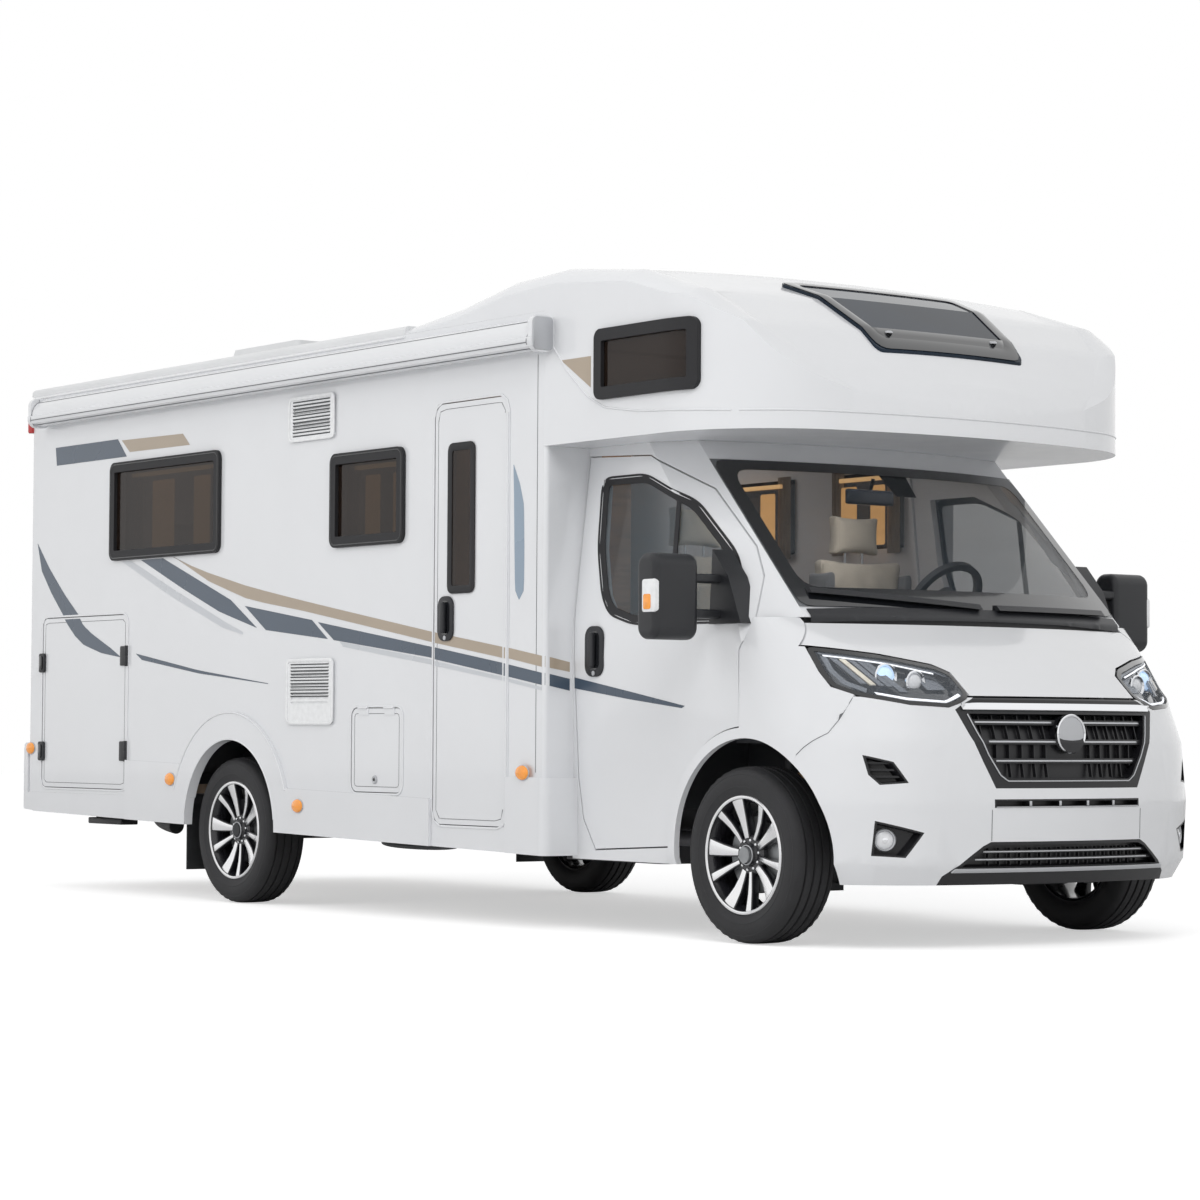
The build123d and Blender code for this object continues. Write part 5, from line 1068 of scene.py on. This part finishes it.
for name, low, high, crown, pinch, channels, finish in (
        ("bed_mattress", (-3.178, -1.078, 1.4815), (-2.152, 1.078, 1.608), 0.008, 0.010, 6, "quilt"),
        ("alcove_mattress", (1.482, -0.948, 2.0715), (2.478, 0.948, 2.178), 0.008, 0.010, 6, "quilt"),
        ("bench_rear_cushion", (-0.428, 0.512, 1.0215), (0.088, 1.078, 1.128), 0.010, 0.012, 0, "seatCloth"),
        ("bench_front_cushion", (0.832, 0.512, 1.0215), (1.348, 1.078, 1.128), 0.010, 0.012, 0, "seatCloth")):
    cushion = pad(name, low, high, crown, pinch, "coach", finish, channels=channels)
    if name == "bed_mattress":
        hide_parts("cushions")

def curtain(name, rear, front, low, high, y, folds, deep, side):
    # cloth hung in folds inside a window
    clearAll()
    across, down = folds * 8 + 1, 9
    bpy.ops.mesh.primitive_grid_add(x_subdivisions=across - 1, y_subdivisions=down - 1, size=1)
    piece = bpy.context.object
    line = []
    for c in range(across):
        share = c / (across - 1)
        line.append((rear + (front - rear) * share, deep * math.sin(share * folds * math.tau)))
    for r in range(down):
        drop = r / (down - 1)
        for c in range(across):
            piece.data.vertices[r * across + c].co = (line[c][0], side * (y + line[c][1] * (0.7 + 0.3 * drop)),
                                                      high - (high - low) * drop)
    settle(piece, name, "coach", "curtain", 80)
    return piece

sideWindows = {"bed": (-2.352, -1.247, 1.690, 2.190, (-1, 1)),
               "dinette": (-0.234, 0.378, 1.668, 2.100, (-1, 1)), "cook": (0.616, 1.173, 1.668, 2.100, (1,))}

def eachWindow():
    # every side window's name, opening and side
    for key, (rear, ahead, low, high, where) in sideWindows.items():
        for side in where:
            yield key, rear, ahead, low, high, side, sideWord(side)

for key, rear, ahead, low, high, side, sideName in eachWindow():
    wide = (ahead - rear) * 0.16
    for end, start in (("rear", rear + 0.035), ("front", ahead - 0.035 - wide)):
        curtain(f"curtain_{key}_{end}_{sideName}", start, start + wide, low + 0.01, high - 0.02, 1.100, 4,
                0.008, side)
    # warm strip light above the window
    block(f"window_light_{key}_{sideName}", (rear + 0.10, side * 1.105, high - 0.075),
          (ahead - 0.10, side * 1.085, high - 0.055), 0.004,
          "coach", "warmLight", "seat_fabric")
# amber blinds inside the windows; they glow with painted light, since no lamp lights them
for key, rear, ahead, low, high, side, sideName in eachWindow():
    for number, shares in enumerate(((0.24, 0.44), (0.62, 0.80))):
        x0, x1 = [rear + (ahead - rear) * share for share in shares]
        outline = wallBox(side, 1.072, x0, x1, low + 0.05, high - 0.10, 0.01)
        plate(f"blind_{key}_{number}_{sideName}", outline, (0, side * 0.003, 0), "coach", "blindAmber",
              "timber")

# mirror inside the windscreen, steering wheel, dashboard and its vents
block("inside_mirror", (2.165, -0.13, 1.795), (2.190, 0.13, 1.860), 0.010, *glossTrim)
tube("inside_mirror_stem", [(2.180, 0, 1.850), (2.195, 0, 1.885), (2.200, 0, 1.905)], 0.008, *darkTrim)
smoothNode("steering_wheel", "cabPlastic", 40)
smoothNode("dashboard", "cabPlastic")
for number, y in enumerate((-0.62, -0.10, 0.10, 0.62)):
    spun(f"dash_vent_{number}", [(0.0, 0.0), (0.040, 0.0), (0.044, 0.004), (0.040, 0.008), (0.036, 0.004),
                                 (0.0, 0.004)], (2.300, y, 1.215),
         Vector((-1, 0, 0.1)).normalized(), *glossTrim, 32)
print("inside done")

# vents, marker lamps, awning and body trim

vents = {"upper": (-0.605, -0.217, 2.187, 2.380, 11, 2.205, 2.364),
         "lower": (-0.605, -0.210, 0.868, 1.155, 11, 0.990, 1.138)}
for key, (rear, ahead, low, high, count, first, last) in vents.items():
    ringPiece("vent_rim_" + key, (rear, ahead, low, high, 0.018), 0.010, -0.006, -1, 1.1686, 0.004, *whiteTrim)
    for k in range(count):
        z = first + (last - first) * k / (count - 1)
        # a dark plate in each gap between the blades paints the shade inside the vent
        gap = [(x, -1.1690, pz) for x, pz in roundBox(rear + 0.030, ahead - 0.030, z - 0.0040, z + 0.0040,
                                                      0.0038, 3)]
        plate(f"vent_slot_{key}_{k}", gap, (0, -0.0006, 0), "coach", "ventShade", "black_trim")
        blade = [(rear + 0.028, -1.1695, z + 0.0045), (ahead - 0.028, -1.1695, z + 0.0045),
                 (ahead - 0.028, -1.1735, z + 0.0020),
                 (rear + 0.028, -1.1735, z + 0.0020)]
        plate(f"vent_blade_{key}_{k}", blade, (0, 0, 0.0026), *whiteTrim, 0.0006)

# oval side marker lamps, one set per side, and the rear corner pair
markerSpots = ((-1.690, 0.588, skirtFace), (-0.486, 0.481, skirtFace), (1.318, 0.658, skirtFace),
               (-3.222, 0.730, rimFace))
for sideName, side in sides.items():
    for number, (x, z, depth) in enumerate(markerSpots):
        for key, profile, stretch, finish in (
                ("marker", [(0.0, 0.0), (0.030, 0.0), (0.031, 0.006), (0.027, 0.012), (0.017, 0.0165),
                            (0.007, 0.018), (0.0, 0.0182)],
                 1.45, "amberLens"),
                ("marker_base", [(0.0295, 0.0), (0.0340, 0.0), (0.0330, 0.0042), (0.0302, 0.0050)], 1.42,
                 "silverPlastic")):
            lens = spun(f"{key}_{number}_{sideName}", profile, (x, side * depth, z), Vector((0, side, 0)),
                        "coach", finish,
                        "orange_lens", 40)
            for vertex in lens.data.vertices:
                vertex.co.x = x + (vertex.co.x - x) * stretch
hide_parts("marker_lights")

# awning: grooves along the case, lines at its ends and a plate on the front end
seamLift, seamThick = 0.0004, 0.0008
def sideSeam(name, upper, lower, side, targets, along, thick):
    # a thin line on the side of the vehicle between two edges of (along, height) points
    rows = between(*[[(x, side * outside, z) for x, z in edge] for edge in (upper, lower)], along, 2)
    draped(name, rows, targets, (0, -side, 0), seamLift, thick, *rubberTrim)

for z, wide in ((2.548, 0.003), (2.455, 0.004), (2.432, 0.002)):
    edges = [[(-3.045, z + half), (1.465, z + half)] for half in (wide / 2, -wide / 2)]
    sideSeam(f"awning_groove_{int(z * 1000)}", *edges, -1, ["awning_case"], 30, seamThick)
for key, x in (("rear", -3.046), ("front", 1.466)):
    edges = [[(x + half, 2.566), (x + half, 2.424)] for half in (-0.002, 0.002)]
    sideSeam("awning_end_line_" + key, *edges, -1, ["awning_case"], 14, seamThick)
capOutline = [(1.5005, y, z) for y, z in softened([(-1.270, 2.426), (-1.168, 2.426), (-1.168, 2.564),
                                                   (-1.270, 2.564)], 0.020)]
plate("awning_end_plate", capOutline, (0.006, 0, 0), "coach", "silverPlastic", "body_white", 0.002)

# roof window: glossy black border, sill and latches
roofOuter = softened([(2.166, 0.492), (2.166, -0.492), (2.688, -0.398), (2.688, 0.398)], 0.050)
roofInner = softened([(2.206, 0.436), (2.206, -0.436), (2.640, -0.352), (2.640, 0.352)], 0.040)
loops = [ringed([(x, y, outside) for x, y in outline], 121) for outline in (roofOuter, roofInner)]
rows = bands(*loops, (0, 0.5, 1))
draped("roof_window_border", rows, ["roof_light"], (0, 0, -1), [0.0008, 0.006, 0.0015], 0.003, *glossTrim,
       closed=True)
bottom = between([(2.600, 0.372, outside), (2.600, -0.372, outside)],
                 [(2.678, 0.358, outside), (2.678, -0.358, outside)], 20, 4)
draped("roof_window_sill", bottom, ["roof_light"], (0, 0, -1), 0.003, 0.002, *glossTrim, soften=0.001)
for sideName, side in sides.items():
    met = hitOn(["roof_light"], Vector((2.622, side * 0.290, outside)), -zAxis)
    spun("roof_latch_" + sideName, [(0.0, 0.0), (0.018, 0.0), (0.018, 0.006), (0.012, 0.010), (0.0, 0.011)],
         tuple(met + Vector((0, 0, 0.004))), zAxis, "coach", "silverPlastic", "black_trim", 28)

# moulded ridge round the lower side of the cap over the cab
ridgeLine = [(1.470, 2.470, 0), (1.600, 2.330, 0), (1.740, 2.215, 0), (1.860, 2.160, 0), (2.100, 2.128, 0),
             (2.560, 2.104, 0)]
ridges = {"front": [frontHit(["alcove_shell"], -1.04 + 2.08 * k / 60, 2.104) for k in range(61)]}
for sideName, side in sides.items():
    ridges[sideName] = [sideHit(["alcove_shell"], point.x, point.y, side) for point in evenly(ridgeLine, 40)]
for key in ("right", "left", "front"):
    tube("alcove_ridge_" + key, [tuple(met) for met in ridges[key] if met], 0.0045, *paintTrim,
         smooth=True)

# black sill under the windscreen, down to the bonnet
sill = between(onFront([(-0.845, 1.318), (-0.40, 1.333), (0, 1.337), (0.40, 1.333), (0.845, 1.318)]),
               onFront([(-0.845, 1.266), (-0.40, 1.280), (0, 1.283), (0.40, 1.280), (0.845, 1.266)]), 120, 9)
draped("screen_sill", sill, ["cab_frame"], inward, 0.0035, 0.0030, *darkTrim)

# fine joint lines between wing and bumper and at the front corner of the walls
seam = [(2.895, 0.746), (2.930, 0.778), (2.970, 0.805), (3.017, 0.832), (3.043, 0.882), (3.057, 0.928),
        (3.066, 0.968)]
for sideName, side in sides.items():
    sideSeam("wing_seam_" + sideName, [(x, z + 0.0012) for x, z in seam],
             [(x + 0.0016, z - 0.0012) for x, z in seam], side,
             ["front_wings", "front_bumper"], 40, 0.0007)
    sideSeam("corner_seam_" + sideName, [(1.386, 2.420), (1.386, 0.660)], [(1.389, 2.420), (1.389, 0.660)],
             side,
             ["side_wall_" + sideName], 4, 0.0007)
    # aluminium rail where wall meets roof
    rail = [(x, side * 1.1612, 2.588) for x in (-3.236, -2.0, -0.8, 0.36)]
    tube("roof_rail_" + sideName, rail, 0.0065, *whiteTrim)

# catches and beads on the hinged windows
for key, rear, ahead, low, high, side, sideName in eachWindow():
    for number, x in enumerate((rear + 0.06, ahead - 0.06)):
        block(f"window_catch_{key}_{number}_{sideName}", (x - 0.014, side * 1.1605, low + 0.030),
              (x + 0.014, side * 1.1680, low + 0.052),
              0.003, *glossTrim)
    bead = wallBox(side, 1.1775, rear + 0.012, ahead - 0.012, low + 0.012, high - 0.012, 0.036)
    tube(f"window_bead_{key}_{sideName}", bead, 0.003, *glossTrim, closed=True)

# rear

rearX = -3.2605   # just behind the rear wall
for key, x, half, low, high, corner, deep, finish, slotName, soften in (
        ("recess", rearX, 0.30, 0.800, 0.950, 0.02, 0.006, "blackPlastic", "black_trim", 0.002),
        ("blank", rearX - 0.0062, 0.26, 0.820, 0.930, 0.012, 0.003, "whiteLens", "body_white", 0.001)):
    outline = [(x, y, z) for y, z in roundBox(-half, half, low, high, corner)]
    plate("number_plate_" + key, outline, (-deep, 0, 0), "coach", finish, slotName, soften)
rearLenses = ((0.905, 1.040, "redLens"), (1.045, 1.120, "amberLens"), (1.125, 1.200, "clearLens"),
              (1.205, 1.325, "redLens"))
for name, side in sides.items():
    block("plate_lamp_" + name, (rearX - 0.022, side * 0.20 - 0.03, 0.955),
          (rearX + 0.0005, side * 0.20 + 0.03, 0.972), 0.004,
          "coach", "clearLens", "lamp_lens")
for name, side in sides.items():
    near, far = sorted((side * 0.965, side * 1.018))
    for number, (low, high, finish) in enumerate(rearLenses):
        block(f"rear_lens_{number}_{name}", (-3.300, near, low), (-3.2895, far, high), 0.005, "coach", finish,
              "red_lens")
        for k in range(3):
            z = low + (high - low) * (k + 0.5) / 3
            block(f"rear_rib_{number}_{k}_{name}", (-3.302, near + 0.006, z - 0.002),
                  (-3.299, far - 0.006, z + 0.002), 0.0012,
                  "coach", finish, "red_lens", 2)
block("high_stop_lamp", (-3.276, -0.16, 2.505), (-3.2602, 0.16, 2.530), 0.005, *redLamp)
block("rear_camera_hood", (-3.292, -0.045, 2.440), (-3.2602, 0.045, 2.492), 0.012, *darkTrim)
spun("rear_camera_lens", [(0.0, 0.0), (0.014, 0.0), (0.014, 0.004), (0.009, 0.007), (0.0, 0.008)],
     (-3.291, 0, 2.464), Vector((-1, 0, -0.2)).normalized(),
     *glossTrim, 28)
for name, side in sides.items():
    spun("rear_reflector_" + name, [(0.0, 0.0), (0.036, 0.0), (0.036, 0.005), (0.030, 0.008), (0.0, 0.0085)],
         (-3.3995, side * 0.86, 0.600), Vector((-1, 0, 0)),
         *redLamp, 36)
    strake = [(rearX + 0.0003, side * y, z) for y,
              z in ((0.60, 1.300), (0.80, 1.300), (0.86, 1.240), (0.58, 1.240))]
    plate("rear_stripe_" + name, strake, (-0.0008, 0, 0), "coach", "slateVinyl", "body_white")

# roof: cooler grille slots as dark blocks of painted shade, and the skylight's rim
for k in range(9):
    y = -0.36 + 0.055 * k
    for key, tail, nose, low, high in (("slot", -2.5215, -2.5165, 2.700, 2.780),
                                       ("front_slot", -1.765, -1.7495, 2.690, 2.740)):
        block(f"cooler_{key}_{k}", (tail, y - 0.018, low), (nose, y + 0.018, high), 0.002, "coach", "ventShade",
              "black_trim", 2)
tube("skylight_rim", [(-0.35 + x, y, 2.6415) for x, y in roundBox(-0.352, 0.352, -0.252, 0.252, 0.05)], 0.008,
     "coach", "blackRubber", "black_trim", closed=True)
# rounded caps over the rear bumper's ends, red corner lamps and the parts that hang under the floor
bumperBack = ((0.404, -3.290), (0.412, -3.329), (0.470, -3.358), (0.540, -3.390), (0.570, -3.399),
              (0.680, -3.399),
              (0.700, -3.389), (0.735, -3.330))   # height and how far back the bumper reaches there
bumperArc = dict(x=-3.20375, y=0.98897, radius=0.19625, start=122.37)   # its rounded corner from above
def bumperReach(z):
    for (za, xa), (zb, xb) in zip(bumperBack, bumperBack[1:]):
        if z <= zb:
            return xa + (xb - xa) * (z - za) / (zb - za)

arch = dict(x=-1.130, z=0.360)
def archLine(radius, side, depth, first, last):
    turns = [math.radians(a) for a in range(first, last, 3)]
    return [(arch["x"] + radius * math.cos(a), side * depth, arch["z"] + radius * math.sin(a)) for a in turns]

for sideName, side in sides.items():
    rows = []
    for k in range(18):
        z = 0.414 + 0.318 * k / 17
        first = math.radians(bumperArc["start"])
        last = max(math.acos(min(max((bumperReach(z) - bumperArc["x"]) / bumperArc["radius"], -1), 1)),
                   first + 0.02)
        turns = [first + (last - first) * j / 15 for j in range(16)]
        rows.append([(bumperArc["x"] + bumperArc["radius"] * math.cos(a),
                      side * (bumperArc["y"] + bumperArc["radius"] * math.sin(a)), z) for a in turns])
    draped("bumper_corner_" + sideName, rows, [], (0.6, -side * 0.8, 0), 0.0006, 0.002, *paintTrim)
    spun("corner_lamp_" + sideName, [(0.0, -0.044), (0.019, -0.044), (0.024, -0.036), (0.024, 0.036),
                                     (0.019, 0.044), (0.0, 0.044)],
         (-3.262, side * 1.156, 2.452), zAxis, *redLamp, 32)
    block("steady_plate_" + sideName, (-2.860, side * 0.96 - 0.05, 0.340), (-2.500, side * 0.96 + 0.05, 0.372),
          0.006, "coach", "blackPlastic",
          "chassis_steel")
    for key, half, line, radius, finish, slotName, extra in (
            ("steady_leg", 0.96, [(-2.83, 0.375), (-2.60, 0.455), (-2.52, 0.470)], 0.018, "steel",
             "chassis_steel", {}),
            ("drain_duct", 1.02, [(-2.12, 0.480), (-2.08, 0.400), (-2.02, 0.365), (-1.90, 0.352)], 0.042,
             "blackPlastic",
             "black_trim", dict(sides=18, smooth=True))):
        tube(f"{key}_{sideName}", [(x, side * half, z) for x, z in line], radius, "coach", finish, slotName,
             **extra)
    step = [(0.10, side * 1.08, 0.330), (0.16, side * 1.10, 0.318), (0.62, side * 1.10, 0.318),
            (0.68, side * 1.08, 0.330)]
    tube("step_rail_" + sideName, step, 0.012, "coach", "steel", "chassis_steel", smooth=True)
    # beads along the lip and the edge of the rear arch
    for key, bead, line in (("bead", 0.0045, archLine(0.5555, side, 1.1768, 20, 162)),
                            ("edge", 0.0040, archLine(0.4275, side, 1.1760, 7, 175))):
        tube(f"arch_{key}_{sideName}", line, bead, *paintTrim, smooth=True)
print("trim done")

# floor, light and camera

clearAll()
bpy.ops.mesh.primitive_plane_add(size=90)
floor = bpy.context.object
floor.name = "studio_floor"
floorFinish = makeFinish("studioFloor", (0.86, 0.86, 0.86), 0.9, mottle=0.01)
floor.data.materials.append(floorFinish)
tree = floorFinish.node_tree
shader = tree.nodes["Principled BSDF"]
rays = addNode(tree, "LightPath")
glowing = addNode(tree, "MapRange",
                  To_Max=0.52)   # camera rays see the floor nearly white, with the shadow kept
tree.links.new(rays.outputs["Is Camera Ray"], glowing.inputs["Value"])
shader.inputs["Emission Color"].default_value = (1, 1, 1, 1)
tree.links.new(glowing.outputs["Result"], shader.inputs["Emission Strength"])

world = bpy.context.scene.world or bpy.data.worlds.new("studio")
bpy.context.scene.world = world
world.use_nodes = True
sky = world.node_tree
backdrop = sky.nodes["Background"]
rays = addNode(sky, "LightPath")
seen = rays.outputs["Is Camera Ray"]
for kind in ("Is Glossy Ray", "Is Transmission Ray"):
    either = addNode(sky, "Math")
    either.operation = "MAXIMUM"
    sky.links.new(seen, either.inputs[0])
    sky.links.new(rays.outputs[kind], either.inputs[1])
    seen = either.outputs["Value"]
level = addNode(sky, "MapRange", To_Min=0.52, To_Max=1.0)
sky.links.new(seen, level.inputs["Value"])
sky.links.new(level.outputs["Result"], backdrop.inputs["Strength"])
backdrop.inputs["Color"].default_value = (1, 1, 1, 1)

def addLamp(name, place, aim, size, power):
    bpy.ops.object.light_add(type="AREA", location=place)
    lamp = bpy.context.object
    lamp.name = name
    lamp.data.size = size
    lamp.data.energy = power
    lamp.rotation_euler = (Vector(aim) - Vector(place)).to_track_quat("-Z", "Y").to_euler()
    lamp.visible_glossy = False

clearAll()
for name, place, aim, size, power in (("keyLamp", (9, -5, 8), (1.5, 0, 1.2), 6, 380),
                                      ("sideLamp", (-2, -10, 6), (-1, 0, 1.3), 6, 250),
                                      ("cabLamp", (2.05, 0, 1.92), (1.7, 0, 1.1), 0.5, 7),
                                      ("roomLamp", (-0.6, 0, 2.50), (-0.6, 0, 1.0), 1.2, 16)):
    addLamp(name, place, aim, size, power)

bpy.ops.object.camera_add()
camera = bpy.context.object
cameraSet = dict(place=(12.7307, -9.2515, 0.8258), lens=99.54, yaw=143.404, pitch=2.3006, roll=0.3254)
yaw, pitch, roll = [math.radians(cameraSet[key]) for key in ("yaw", "pitch", "roll")]
forward = Vector((math.cos(yaw) * math.cos(pitch), math.sin(yaw) * math.cos(pitch), math.sin(pitch)))
right = forward.cross(zAxis).normalized()
up = right.cross(forward)
right, up = right * math.cos(roll) + up * math.sin(roll), up * math.cos(roll) - right * math.sin(roll)
turn = Matrix((right, up, -forward)).transposed().to_4x4()
turn.translation = Vector(cameraSet["place"])
camera.matrix_world = turn
camera.data.sensor_width = 36
camera.data.lens = cameraSet["lens"]
camera.data.clip_end = 200
bpy.context.scene.camera = camera
bpy.context.scene.view_settings.view_transform = "Standard"

print("scene ready")
